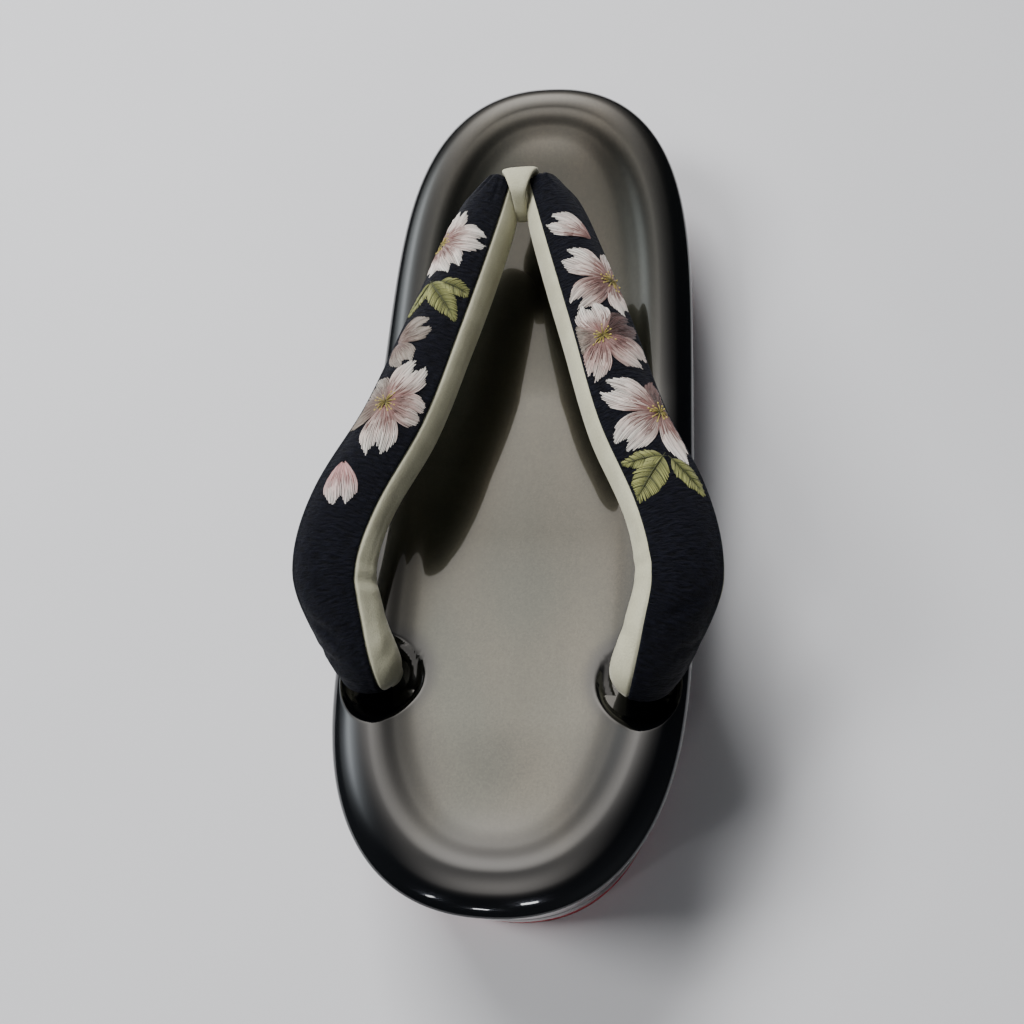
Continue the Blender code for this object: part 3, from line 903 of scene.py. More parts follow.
def closed_tube(points):
    """Vertices and faces of a tube with a middle point at each end."""
    rows, columns = points.shape[:2]
    flat = points.reshape(-1, 3)
    vertices = np.concatenate((flat, [points[0].mean(axis=0)], [points[-1].mean(axis=0)]))
    faces = grid_faces(rows, columns)
    first = rows * columns
    base = first - columns
    for column in range(columns):
        after = (column + 1) % columns
        faces.append((after, column, first))
        faces.append((base + column, base + after, first + 1))
    return vertices, faces


def swell(points):
    """Fills a tube with padding: cloth under pressure, held along its seams and at its ends."""
    rows, columns = points.shape[:2]
    vertices, faces = closed_tube(points)
    bag = bpy.data.objects.new("filling", face_mesh("filling", vertices * SIM_SCALE, faces))
    bpy.context.scene.collection.objects.link(bag)
    held = bag.vertex_groups.new(name="held")
    for row in range(rows):
        freedom = min(row / TIP_ROWS_HELD, (rows - 1 - row) / HOLE_ROWS_HELD)
        for column in range(columns):
            on_seam = column in (0, COVER_COLUMNS)
            weight = max(1.0 - freedom, SEAM_HOLD if on_seam else 0.0, LOOSE_HOLD)
            held.add([row * columns + column], weight, "REPLACE")
    held.add([rows * columns, rows * columns + 1], 1.0, "REPLACE")
    cloth = bag.modifiers.new("padding", "CLOTH")
    for name, value in CLOTH_SETTINGS.items():
        setattr(cloth.settings, name, value)
    cloth.settings.effector_weights.gravity = 0
    cloth.collision_settings.use_collision = False
    cloth.point_cache.frame_start = 1
    cloth.point_cache.frame_end = SIM_FRAMES
    for step in range(1, SIM_FRAMES + 1):
        bpy.context.scene.frame_set(step)
    evaluated = bag.evaluated_get(bpy.context.evaluated_depsgraph_get())
    moved = np.array([vertex.co for vertex in evaluated.data.vertices]) / SIM_SCALE
    bpy.context.scene.frame_set(1)
    bpy.data.objects.remove(bag, do_unlink=True)
    move = moved[: rows * columns].reshape(points.shape) - points
    for _ in range(SWELL_EVENINGS):
        move[1:-1] = move[1:-1] * 0.5 + (move[:-2] + move[2:]) * 0.25
    size = np.linalg.norm(move, axis=2, keepdims=True)
    print("padding swells by up to", round(float(size.max()) * 1000, 2), "mm")
    return points + move * np.minimum(1.0, MOST_SWELL / np.maximum(size, TINY))


def away_from_middle(points, grid):
    """Unit steps from the middle of each section of a strap's grid towards its points."""
    away = points - grid.mean(axis=1, keepdims=True)
    return away / np.linalg.norm(away, axis=2, keepdims=True)


# A section drawn in keeps at least this share of its size
LEAST_LEFT = 0.25


def inward(points, amount):
    """Points of a strap drawn towards the middle of their section."""
    middles = points.mean(axis=1, keepdims=True)
    away = points - middles
    reach = np.linalg.norm(away, axis=2, keepdims=True)
    return middles + away * np.maximum(LEAST_LEFT, 1 - amount / reach)


def mirrored(points, side):
    """The right strap's points for a side, moved over by the lean at the joint."""
    result = points.copy()
    result[..., 0] = side * points[..., 0] - lean_at(points[..., 1])
    return result


def thong_grid():
    """Points of the thong, a tube that flattens to a band over the joint."""
    grid = []
    angles = np.arange(THONG_COLUMNS) * 2 * math.pi / THONG_COLUMNS
    for section in frames_along(thong_stations(), THONG_STEPS, (0, 1, 0)):
        flat = 1 - BAND_SQUARENESS * np.clip(section.width / section.depth - 1, 0, 1)
        cosine = np.copysign(np.abs(np.cos(angles)) ** flat, np.cos(angles))
        sine = np.copysign(np.abs(np.sin(angles)) ** flat, np.sin(angles))
        points = section.middle + np.outer((section.width - THONG_SLIM) * cosine, section.outer)
        points += np.outer((section.depth - THONG_SLIM) * sine, section.cover)
        grid.append(points)
    return np.array(grid)


def finer(points, steps, closed):
    """Rows along smooth curves through the rows of a grid, so many for each one."""
    if closed:
        padded = np.concatenate((points[-1:], points, points[:2]))
        spans = len(points)
    else:
        padded = np.concatenate((points[:1] * 2 - points[1:2], points, points[-1:] * 2 - points[-2:-1]))
        spans = len(points) - 1
    before, start, end, after = (padded[index : index + spans] for index in range(4))
    pieces = []
    for step in range(steps):
        t = step / steps
        bend = (2 * before - 5 * start + 4 * end - after) * t**2
        twist = (3 * start - before - 3 * end + after) * t**3
        pieces.append(start + 0.5 * ((end - before) * t + bend + twist))
    result = np.stack(pieces, axis=1).reshape(-1, *points.shape[1:])
    return result if closed else np.concatenate((result, points[-1:]))


def finer_grid(points):
    """A strap's grid with more rows along it and more columns round it."""
    rows = finer(points, FINER_ALONG, closed=False)
    return finer(rows.swapaxes(0, 1), FINER_AROUND, closed=True).swapaxes(0, 1)


# A crease: which strap, its middle along the strap in millimetres from the tip and round it in degrees, its
# length, width and depth in millimetres, and its turn from the strap's run in degrees
Crease = namedtuple("Crease", "side along around length width depth turn")
CREASES = (
    Crease(-1, 129, 158, 7.0, 1.5, 0.26, 84),
    Crease(-1, 124, 150, 4.0, 1.8, 0.12, 70),
    Crease(-1, 146, 165, 5.0, 1.5, 0.16, 100),
    Crease(-1, 137, 62, 6.0, 1.2, 0.40, 62),
    Crease(-1, 143, 48, 5.0, 1.0, 0.42, 74),
    Crease(-1, 149, 66, 4.5, 0.9, 0.35, 82),
    Crease(-1, 131, 92, 5.0, 1.5, 0.22, 50),
    Crease(-1, 9, 70, 5.0, 0.9, 0.28, -14),
    Crease(-1, 12, 104, 5.0, 0.9, 0.25, 10),
    Crease(1, 125, 156, 6.0, 1.5, 0.24, 88),
    Crease(1, 143, 168, 5.0, 1.4, 0.16, 96),
    Crease(1, 134, 80, 6.0, 1.3, 0.35, 58),
    Crease(1, 141, 52, 5.0, 1.0, 0.40, 76),
    Crease(1, 148, 70, 4.5, 0.9, 0.32, 84),
    Crease(1, 8, 80, 5.0, 0.9, 0.28, -10),
    Crease(1, 11, 110, 4.5, 0.9, 0.25, 12),
)

# The soft shoulder beside a crease: its height as a share of the crease's depth, and how far off it lies
SHOULDER_HEIGHT = 0.45
SHOULDER_PLACE = 1.9


def creased(points, side):
    """Folds a strap's cloth along its creases, each with a soft shoulder on both sides."""
    result = points.copy()
    away = away_from_middle(points, points)
    along = grid_lengths(points)[0] * 1000
    around = degrees_round(COVER_EDGE, points.shape[1] - COVER_EDGE)[None, :]
    girth = np.radians(STRAP_WIDTH / 2 * 1000)
    for crease in CREASES:
        if crease.side != side:
            continue
        turn = math.radians(crease.turn)
        ahead = along - crease.along
        beside = (around - crease.around) * girth
        run = (ahead * math.cos(turn) + beside * math.sin(turn)) / crease.length
        across = np.abs(beside * math.cos(turn) - ahead * math.sin(turn)) / crease.width
        shape = SHOULDER_HEIGHT * np.exp(-((across - SHOULDER_PLACE) ** 2)) - np.exp(-(across**2))
        result += away * (shape * np.exp(-(run**4)) * crease.depth / 1000)[..., None]
    return result


def grid_lengths(points):
    """For each point of a grid, its distance along the strap and round it, in metres."""
    along = np.zeros(points.shape[:2])
    along[1:] = np.cumsum(np.linalg.norm(np.diff(points, axis=0), axis=2).mean(axis=1))[:, None]
    around = np.zeros(points.shape[:2])
    around[:, 1:] = np.cumsum(np.linalg.norm(np.diff(points, axis=1), axis=2), axis=1)
    return along, around


def cloth_uv(mesh, along, around):
    """A UV map of the cloth in centimetres, from each vertex's distance along the strap and round it."""
    values = (np.stack((along, around), 2).reshape(-1, 2) * 100).tolist()
    layer = mesh.uv_layers.new(name="cloth")
    for loop in mesh.loops:
        layer.data[loop.index].uv = values[loop.vertex_index]


# How far a cover's edge stands up over the lining, column by column from the seam
HEM_LIFT = (0.0, 0.00016, 0.00022, 0.00018, 0.00009)
SIDE_NAMES = {1: "right", -1: "left"}


def cover_outside(points):
    """The cover's outer face, its edges rolled a little over the lining."""
    outer = points[:, : COVER_EDGE + 1].copy()
    lift = np.zeros(COVER_EDGE + 1)
    for index, height in enumerate(HEM_LIFT):
        lift[index] = lift[-1 - index] = height
    return outer + away_from_middle(outer, points) * lift[None, :, None]


def make_cover(side, points, material):
    """The crepe wrapped over a strap's top, with its edges turned in."""
    outer = cover_outside(points)
    inner = inward(points, COVER_THICKNESS)[:, : COVER_EDGE + 1]
    along, around = grid_lengths(outer)
    loops = np.concatenate((outer, inner[:, ::-1]), axis=1)
    rows, count = loops.shape[:2]
    faces = grid_faces(rows, count)
    for base in (0, (rows - 1) * count):
        for column in range(COVER_EDGE):
            across = base + count - column
            faces.append((base + column, base + column + 1, across - 2, across - 1))
    name = "crepe_cover_" + SIDE_NAMES[side]
    mesh = face_mesh(name, loops.reshape(-1, 3), faces)
    lengths = np.concatenate((along, along), axis=1)
    girths = np.concatenate((around, around[:, ::-1]), axis=1)
    cloth_uv(mesh, lengths, girths)
    turn_outwards(mesh)
    piece = add_piece(name, mesh, material, ("strap_cover_" + SIDE_NAMES[side],))


def make_lining(sides, material):
    """The padded cream rolls of both strap halves, stepped in under the covers."""
    vertices = []
    faces = []
    for points in sides:
        under = inward(points, COVER_THICKNESS + COVER_GAP)
        tube = points.copy()
        tube[:, 1:COVER_EDGE] = under[:, 1:COVER_EDGE]
        for seam in (0, COVER_EDGE):
            tube[:, seam] = points[:, seam] * (1 - SEAM_STEP) + under[:, seam] * SEAM_STEP
        side_vertices, side_faces = closed_tube(tube)
        faces += [tuple(len(vertices) + corner for corner in face) for face in side_faces]
        vertices += list(side_vertices)
    mesh = face_mesh("velvet_lining", vertices, faces)
    turn_outwards(mesh)
    piece = add_piece("velvet_lining", mesh, material, ("strap_lining",))


def make_thong(material):
    mesh = face_mesh("velvet_thong", *closed_tube(thong_grid()))
    turn_outwards(mesh)
    add_piece("velvet_thong", mesh, material, ("toe_thong",))


# Embroidery, in millimetres on the cover: along it from the strap's tip and across it from the inner seam.
# A turn of 0 points to the heel, of 90 to the outer edge. Only an open blossom shows its stamens.
Petal = namedtuple("Petal", "turn length width dye")
Blossom = namedtuple("Blossom", "along across open petals")
Leaf = namedtuple("Leaf", "along across turn length width")
BLOSSOMS = {
    "right": (
        Blossom(32.5, 12.5, False, (Petal(-130, 12.5, 8.0, "white"),)),
        Blossom(46.5, 13.8, True, (
            Petal(155, 11.0, 8.4, "white"),
            Petal(83, 10.0, 8.4, "white"),
            Petal(11, 10.5, 8.6, "white"),
            Petal(-133, 13.4, 9.0, "white"),
            Petal(-61, 12.6, 9.0, "blush"),
        )),
        Blossom(64.3, 6.8, True, (
            Petal(116, 9.6, 8.8, "brown"),
            Petal(-100, 8.0, 8.4, "grey"),
            Petal(-172, 10.0, 9.0, "white"),
            Petal(44, 12.4, 9.0, "blush"),
            Petal(-28, 12.2, 8.8, "blush"),
        )),
        Blossom(88.5, 14.5, True, (
            Petal(165, 9.0, 7.6, "brown"),
            Petal(83, 10.0, 8.4, "blush"),
            Petal(8, 15.0, 8.8, "white"),
            Petal(-133, 14.3, 9.4, "white"),
            Petal(-61, 13.7, 9.4, "white"),
        )),
    ),
    "left": (
        Blossom(31.5, 14.5, True, (
            Petal(72, 9.0, 8.0, "white"),
            Petal(-161, 11.0, 8.4, "white"),
            Petal(5, 10.5, 8.4, "white"),
            Petal(-98, 13.0, 8.8, "white"),
            Petal(-40, 11.5, 8.4, "white"),
        )),
        Blossom(64.0, 16.0, False, (
            Petal(-42, 9.0, 8.0, "grey"),
            Petal(-125, 10.0, 8.4, "grey"),
        )),
        Blossom(83.0, 10.5, True, (
            Petal(128, 9.0, 8.6, "grey"),
            Petal(56, 12.0, 8.8, "grey"),
            Petal(-88, 10.0, 9.0, "blush"),
            Petal(-160, 13.0, 9.2, "white"),
            Petal(-16, 14.5, 9.2, "white"),
        )),
        Blossom(100.5, 12.5, False, (Petal(-23, 12.0, 8.3, "pink"),)),
    ),
}
LEAVES = {
    "right": (
        Leaf(101.0, 10.0, -98, 10.0, 4.2),
        Leaf(102.0, 11.5, 21, 11.5, 4.6),
        Leaf(101.0, 10.0, -48, 14.5, 7.4),
    ),
    "left": (
        Leaf(45.0, 12.0, 22, 11.0, 4.0),
        Leaf(45.0, 9.0, -78, 10.0, 4.6),
        Leaf(45.0, 12.0, -45, 15.0, 6.6),
    ),
}

# A petal's dyes at its tip, middle and base, and its veins'; then those of leaves and stamens
Dye = namedtuple("Dye", "tip middle base vein")
DYES = {
    "white": Dye((0.88, 0.84, 0.77), (0.74, 0.62, 0.56), (0.25, 0.13, 0.115), (0.15, 0.07, 0.06)),
    "blush": Dye((0.80, 0.72, 0.65), (0.52, 0.37, 0.33), (0.20, 0.10, 0.09), (0.10, 0.045, 0.04)),
    "pink": Dye((0.84, 0.78, 0.73), (0.72, 0.54, 0.51), (0.56, 0.31, 0.30), (0.36, 0.18, 0.17)),
    "grey": Dye((0.40, 0.36, 0.31), (0.30, 0.25, 0.21), (0.19, 0.13, 0.11), (0.10, 0.06, 0.05)),
    "brown": Dye((0.19, 0.11, 0.10), (0.11, 0.06, 0.055), (0.07, 0.035, 0.03), (0.04, 0.02, 0.02)),
}
SHADES_AT = (0.20, 0.52, 0.90)
LEAF_LIGHT = np.array((0.33, 0.34, 0.12))
LEAF_DARK = np.array((0.12, 0.13, 0.040))
LEAF_VEIN = np.array((0.04, 0.045, 0.014))
STAMEN_LOW = np.array((0.05, 0.038, 0.012))
STAMEN_HIGH = np.array((0.56, 0.46, 0.10))

# Thread: its size, how close the stitches lie in millimetres, and how far their ends sink into the cloth
THREAD_RADIUS = 0.00018
THREAD_SPACING = 0.37
THREAD_SIDES = 5
SUNK_END = 0.05
ARCH_FULLNESS = 0.6
END_THICKNESS = 0.72
STITCH_SAMPLES = 13
STITCH_POINTS = 5
LEAST_SAMPLES = 3
SHEET_STEP = 0.0005
SEAM_MARGIN = 0.0007

# A row of long and short stitches: where it starts and ends in the petal, how many threads for the petal's
# width, and how high they stand in millimetres
StitchRow = namedtuple("StitchRow", "start end threads lift")
PETAL_ROWS = (
    StitchRow(0.50, 1.00, 1.00, 0.10),
    StitchRow(0.24, 0.72, 0.90, 0.15),
    StitchRow(0.02, 0.44, 0.72, 0.20),
)

# Petals, in shares of their length and half width: two lobes with a notch between them, on a narrow foot.
# Petals that are worked later stand a little higher, in a few steps.
PETAL_START = 0.7
PETAL_WAIST = 0.62
PETAL_FOOT = 0.10
PETAL_CLOSING = 0.22
LOBE_PLACE = 0.42
NOTCH_DEPTH = 0.22
LOBE_DROP = 0.30
LOBE_CURVE = 1.6
VEIN_SIDES = (-0.72, -0.48, -0.24, -0.02, 0.22, 0.46, 0.70)
VEIN_START = 0.04
VEIN_LIFT = 0.07
VEIN_THICKNESS = 0.62
STACKING = 0.02
STACKING_STEPS = 5

# Leaves: stitches that slant from the midrib to the edge, some of them dark veins
LEAF_STEP = 0.44
LEAF_FOOT = 0.02
LEAF_RUN = 0.90
LEAF_TIP = 0.995
LEAF_SLANT = 0.20
LEAF_SLANT_LOSS = 0.6
LEAF_BELLY = 0.85
LEAF_FULLNESS = 0.9
LEAF_LEAST_EDGE = 0.12
LEAF_BEND = 0.85
LEAF_SHADE_RUN = 1.6
LEAF_LIFT = 0.12
VEIN_EVERY = 6
VEIN_FIRST = 3
MIDRIB = (-0.08, 0.90)
MIDRIB_LIFT = 0.26
MIDRIB_THICKNESS = 0.8

# Stamens, in millimetres, each with a knot at its end
STAMENS = 12
STAMEN_START = 0.1
STAMEN_LIFT = 0.44
STAMEN_THICKNESS = 0.85
KNOT_LENGTH = 0.45
KNOT_LIFT = 0.42
KNOT_THICKNESS = 1.15

# How much the stitches differ from one another: the least and the most
START_DRIFT = (-0.09, 0.07)
TIP_DRIFT = (-0.05, 0.025)
END_DRIFT = (-0.05, 0.09)
SIDE_DRIFT = (-0.05, 0.05)
TONE_RANGE = (0.62, 1.08)
SHADE_DRIFT = (-0.16, 0.14)
THICKNESS_RANGE = (0.9, 1.05)
VEIN_ENDS = (0.42, 0.74)
VEIN_DRIFT = (-0.08, 0.08)
LEAF_EDGE_DRIFT = (-0.22, 0.30)
LEAF_TONE_RANGE = (0.55, 1.15)
STAMEN_DRIFT = (-0.3, 0.3)
STAMEN_LENGTHS = (1.5, 3.3)

# A stitch: its path along and across the cover, its colours on the way, its height and its thickness
Stitch = namedtuple("Stitch", "path colours lift thickness")
Sheet = namedtuple("Sheet", "points normals along width")


def cover_sheet(outer, side):
    """A cover's outside at even steps from its inner seam, with normals and each row's place and width."""
    flipped = outer[:, ::-1]
    steps = np.linalg.norm(np.diff(flipped, axis=1), axis=2)
    arcs = np.concatenate((np.zeros((len(outer), 1)), np.cumsum(steps, axis=1)), axis=1)
    marks = np.arange(0.0, arcs.max(), SHEET_STEP)
    even = np.zeros((len(outer), len(marks), 3))
    for row in range(len(outer)):
        for axis in range(3):
            even[row, :, axis] = np.interp(marks, arcs[row], flipped[row, :, axis])
    normals = side * np.cross(np.gradient(even, axis=0), np.gradient(even, axis=1))
    normals /= np.maximum(np.linalg.norm(normals, axis=2, keepdims=True), TINY)
    middle = outer[:, COVER_EDGE // 2]
    along = np.concatenate(([0.0], np.cumsum(np.linalg.norm(np.diff(middle, axis=0), axis=1))))
    return Sheet(even, normals, along, arcs[:, -1])


def on_sheet(sheet, along, across):
    """Points and normals of a cover at places along and across it."""
    row = np.interp(along, sheet.along, np.arange(len(sheet.along)))
    column = np.clip(across / SHEET_STEP, 0, sheet.points.shape[1] - 2 + JUST_UNDER_ONE)
    first_row = np.minimum(row.astype(int), len(sheet.along) - 2)
    first_column = column.astype(int)
    down = (row - first_row)[..., None]
    over = (column - first_column)[..., None]
    result = []
    for values in (sheet.points, sheet.normals):
        ends = []
        for index in (first_row, first_row + 1):
            ends.append(values[index, first_column] * (1 - over) + values[index, first_column + 1] * over)
        result.append(ends[0] * (1 - down) + ends[1] * down)
    return result


def laid_out(place, turn, ahead, beside):
    """A path on the cover from distances ahead of and beside a place, turned some degrees."""
    angle = math.radians(turn)
    along = place.along + ahead * math.cos(angle) - beside * math.sin(angle)
    across = place.across + ahead * math.sin(angle) + beside * math.cos(angle)
    return np.stack((along, across), axis=1) / 1000


def one_colour(colour):
    return np.tile(colour, (STITCH_SAMPLES, 1))


def petal_half(share, width):
    """Half a petal's width at a share of its length: narrow at the foot, broad past the middle."""
    opening = np.sin(math.pi / 2 * np.minimum(1.0, share / PETAL_WAIST))
    closing = 1 - PETAL_CLOSING * np.maximum(0.0, (share - PETAL_WAIST) / (1 - PETAL_WAIST)) ** 2
    return width / 2 * (PETAL_FOOT + (1 - PETAL_FOOT) * opening) * closing


def petal_reach(side):
    """How far a petal goes on the way out at one side: two lobes with a notch between them."""
    off = abs(side)
    if off < LOBE_PLACE:
        return 1 - NOTCH_DEPTH * (1 - off / LOBE_PLACE)
    return 1 - LOBE_DROP * ((off - LOBE_PLACE) / (1 - LOBE_PLACE)) ** LOBE_CURVE


def petal_colours(dye, share):
    """A petal's colours at shares of its length."""
    parts = zip(dye.base, dye.middle, dye.tip)
    return np.stack([np.interp(share, SHADES_AT, part) for part in parts], axis=1)


def petal_stitches(blossom, petal, dice):
    """Long and short satin stitches in three rows, with the veins over them."""
    dye = DYES[petal.dye]
    stitches = []
    for row in PETAL_ROWS:
        end_drift = TIP_DRIFT if row.end == 1 else END_DRIFT
        threads = round(petal.width * row.threads / THREAD_SPACING)
        for thread in range(threads):
            side = -1 + 2 * (thread + 0.5) / threads
            reach = petal_reach(side)
            start = max(0.0, row.start * reach + dice.uniform(*START_DRIFT))
            end = row.end * reach + dice.uniform(*end_drift)
            share = np.linspace(start, end, STITCH_SAMPLES)
            beside = side * petal_half(share, petal.width) + dice.uniform(*SIDE_DRIFT)
            tone = dice.uniform(*TONE_RANGE)
            colours = tone * petal_colours(dye, share + dice.uniform(*SHADE_DRIFT))
            path = laid_out(blossom, petal.turn, PETAL_START + share * petal.length, beside)
            stitches.append(Stitch(path, colours, row.lift, dice.uniform(*THICKNESS_RANGE)))
    vein_lift = PETAL_ROWS[-1].lift + VEIN_LIFT
    for side in VEIN_SIDES:
        share = np.linspace(VEIN_START, dice.uniform(*VEIN_ENDS), STITCH_SAMPLES)
        beside = (side + dice.uniform(*VEIN_DRIFT)) * petal_half(share, petal.width)
        path = laid_out(blossom, petal.turn, PETAL_START + share * petal.length, beside)
        stitches.append(Stitch(path, one_colour(dye.vein), vein_lift, VEIN_THICKNESS))
    return stitches


def leaf_half(share, width):
    """Half a leaf's width at a share of its length."""
    return width / 2 * np.sin(math.pi * np.clip(share, 0, 1) ** LEAF_BELLY) ** LEAF_FULLNESS


def leaf_stitches(leaf, dice):
    """Slanting stitches on both sides of a midrib, every few of them a dark vein."""
    stitches = []
    count = int(leaf.length / LEAF_STEP)
    step = np.linspace(0, 1, STITCH_SAMPLES)
    shade = np.minimum(1.0, step * LEAF_SHADE_RUN)[:, None]
    for side in (1, -1):
        for index in range(count):
            start = LEAF_FOOT + LEAF_RUN * index / count
            end = min(LEAF_TIP, start + LEAF_SLANT * (1 - start * LEAF_SLANT_LOSS))
            share = start + (end - start) * step
            edge = max(LEAF_LEAST_EDGE, leaf_half(end, leaf.width) + dice.uniform(*LEAF_EDGE_DRIFT))
            vein = index % VEIN_EVERY == VEIN_FIRST
            low = LEAF_VEIN if vein else LEAF_DARK
            high = (LEAF_DARK if vein else LEAF_LIGHT) * dice.uniform(*LEAF_TONE_RANGE)
            path = laid_out(leaf, leaf.turn, share * leaf.length, side * edge * step**LEAF_BEND)
            colours = low + (high - low) * shade
            stitches.append(Stitch(path, colours, LEAF_LIFT, dice.uniform(*THICKNESS_RANGE)))
    share = np.linspace(*MIDRIB, STITCH_SAMPLES)
    path = laid_out(leaf, leaf.turn, share * leaf.length, np.zeros(STITCH_SAMPLES))
    stitches.append(Stitch(path, one_colour(LEAF_VEIN), MIDRIB_LIFT, MIDRIB_THICKNESS))
    return stitches


def stamen_stitches(blossom, dice):
    """Stamens spread from a blossom's middle, each with a knot at its end."""
    stitches = []
    straight = np.zeros(STITCH_SAMPLES)
    step = np.linspace(0, 1, STITCH_SAMPLES)
    colours = STAMEN_LOW + (STAMEN_HIGH - STAMEN_LOW) * step[:, None]
    for stamen in range(STAMENS):
        turn = 360 * (stamen + dice.uniform(*STAMEN_DRIFT)) / STAMENS
        length = dice.uniform(*STAMEN_LENGTHS)
        path = laid_out(blossom, turn, STAMEN_START + step * length, straight)
        stitches.append(Stitch(path, colours, STAMEN_LIFT, STAMEN_THICKNESS))
        knot = laid_out(blossom, turn, length + step * KNOT_LENGTH, straight)
        stitches.append(Stitch(knot, one_colour(STAMEN_HIGH), KNOT_LIFT, KNOT_THICKNESS))
    return stitches


def within_seams(stitch, sheet):
    """A stitch cut to its first run between the cover's seams, or None if nothing of it is left."""
    along, across = stitch.path.T
    width = np.interp(along, sheet.along, sheet.width)
    inside = (across > SEAM_MARGIN) & (across < width - SEAM_MARGIN)
    if not inside.any():
        return None
    first = int(np.argmax(inside))
    outside = np.flatnonzero(~inside[first:])
    last = first + int(outside[0]) - 1 if len(outside) else len(inside) - 1
    if last - first < LEAST_SAMPLES:
        return None
    picks = np.linspace(first, last, STITCH_POINTS)
    samples = np.arange(len(inside))
    path = np.stack([np.interp(picks, samples, values) for values in stitch.path.T], axis=1)
    colours = np.stack([np.interp(picks, samples, values) for values in stitch.colours.T], axis=1)
    return stitch._replace(path=path, colours=colours)


def thread_tree():
    """Geometry Nodes that spin a thread round every stitch's line."""
    tree = bpy.data.node_groups.new("spun_thread", "GeometryNodeTree")
    face = tree.interface
    face.new_socket("Geometry", in_out="INPUT", socket_type="NodeSocketGeometry")
    face.new_socket("Thread Radius", in_out="INPUT", socket_type="NodeSocketFloat")
    face.new_socket("Thread Sides", in_out="INPUT", socket_type="NodeSocketInt")
    face.new_socket("Thread Material", in_out="INPUT", socket_type="NodeSocketMaterial")
    face.new_socket("Geometry", in_out="OUTPUT", socket_type="NodeSocketGeometry")
    given = tree.nodes.new("NodeGroupInput").outputs
    lines = add_node(tree, "GeometryNodeMeshToCurve", Mesh=given["Geometry"])
    ring = add_node(tree, "GeometryNodeCurvePrimitiveCircle", Resolution=given["Thread Sides"], Radius=1.0)
    thickness = add_node(tree, "GeometryNodeInputNamedAttribute", {"data_type": "FLOAT"}, Name="thickness")
    spun = add_node(
        tree,
        "GeometryNodeCurveToMesh",
        Curve=lines.outputs["Curve"],
        Profile_Curve=ring.outputs["Curve"],
        Scale=add_maths(tree, "MULTIPLY", thickness.outputs["Attribute"], given["Thread Radius"]),
        Fill_Caps=True,
    )
    smooth = add_node(tree, "GeometryNodeSetShadeSmooth", Geometry=spun.outputs["Mesh"])
    real = add_node(tree, "GeometryNodeRealizeInstances", Geometry=smooth.outputs["Geometry"])
    dressed = add_node(
        tree,
        "GeometryNodeSetMaterial",
        Geometry=real.outputs["Geometry"],
        Material=given["Thread Material"],
    )
    add_node(tree, "NodeGroupOutput", Geometry=dressed.outputs["Geometry"])
    return tree


def stitch_lines(name, stitches, sheet):
    """A line of points over the cover for each stitch, with its thickness and dye stored on it."""
    arch = np.sin(np.linspace(0, math.pi, STITCH_POINTS)) ** ARCH_FULLNESS
    points = []
    colours = []
    thickness = []
    for stitch in stitches:
        places, normals = on_sheet(sheet, *stitch.path.T)
        lift = (-SUNK_END + (stitch.lift + SUNK_END) * arch) / 1000
        points.append(places + normals * lift[:, None])
        colours.append(np.column_stack((stitch.colours, np.ones(STITCH_POINTS))))
        thickness.append(stitch.thickness * (END_THICKNESS + (1 - END_THICKNESS) * arch))
    starts = np.arange(len(points)) * STITCH_POINTS
    edges = [(start + step, start + step + 1) for start in starts for step in range(STITCH_POINTS - 1)]
    mesh = bpy.data.meshes.new(name)
    mesh.from_pydata(np.concatenate(points).tolist(), edges, [])
    values = np.concatenate(thickness)
    mesh.attributes.new("thickness", "FLOAT", "POINT").data.foreach_set("value", values)
    values = np.concatenate(colours).ravel()
    mesh.attributes.new("dye", "FLOAT_COLOR", "POINT").data.foreach_set("color", values)
    return mesh


def spin(lines_mesh, tree, material):
    """The threads round all lines as one plain mesh."""
    lines = bpy.data.objects.new(lines_mesh.name, lines_mesh)
    bpy.context.scene.collection.objects.link(lines)
    threads = lines.modifiers.new("threads", "NODES")
    threads.node_group = tree
    inputs = [item for item in tree.interface.items_tree if item.in_out == "INPUT"]
    sockets = {item.name: item.identifier for item in inputs}
    threads[sockets["Thread Radius"]] = THREAD_RADIUS
    threads[sockets["Thread Sides"]] = THREAD_SIDES
    threads[sockets["Thread Material"]] = material
    graph = bpy.context.evaluated_depsgraph_get()
    spun = bpy.data.meshes.new_from_object(lines.evaluated_get(graph), depsgraph=graph)
    lines.modifiers.remove(threads)
    bpy.data.objects.remove(lines, do_unlink=True)
    turn_outwards(spun)
    return spun


def make_embroidery(side, points, tree, material):
    """Cherry blossoms, loose petals and leaf sprigs worked over one strap's cover."""
    name = "strap_embroidery_" + SIDE_NAMES[side]
    blossoms = BLOSSOMS[SIDE_NAMES[side]]
    dice = random.Random(name)
    stitches = []
    for leaf in LEAVES[SIDE_NAMES[side]]:
        stitches += leaf_stitches(leaf, dice)
    petals = [(blossom, petal) for blossom in blossoms for petal in blossom.petals]
    for order, (blossom, petal) in enumerate(petals):
        raised = order % STACKING_STEPS * STACKING
        for stitch in petal_stitches(blossom, petal, dice):
            stitches.append(stitch._replace(lift=stitch.lift + raised))
    for blossom in blossoms:
        if blossom.open:
            stitches += stamen_stitches(blossom, dice)
    sheet = cover_sheet(cover_outside(points), side)
    kept = [cut for cut in (within_seams(stitch, sheet) for stitch in stitches) if cut]
    mesh = spin(stitch_lines(name + "_lines", kept, sheet), tree, material)
    print(name, len(kept), "stitches,", len(mesh.polygons), "faces")
    add_piece(name, mesh, material)


# Build the sandal
enamel = pearl_enamel()
rubber = red_rubber()
velvet = cream_velvet()
crepe = navy_crepe()
silk = silk_thread()

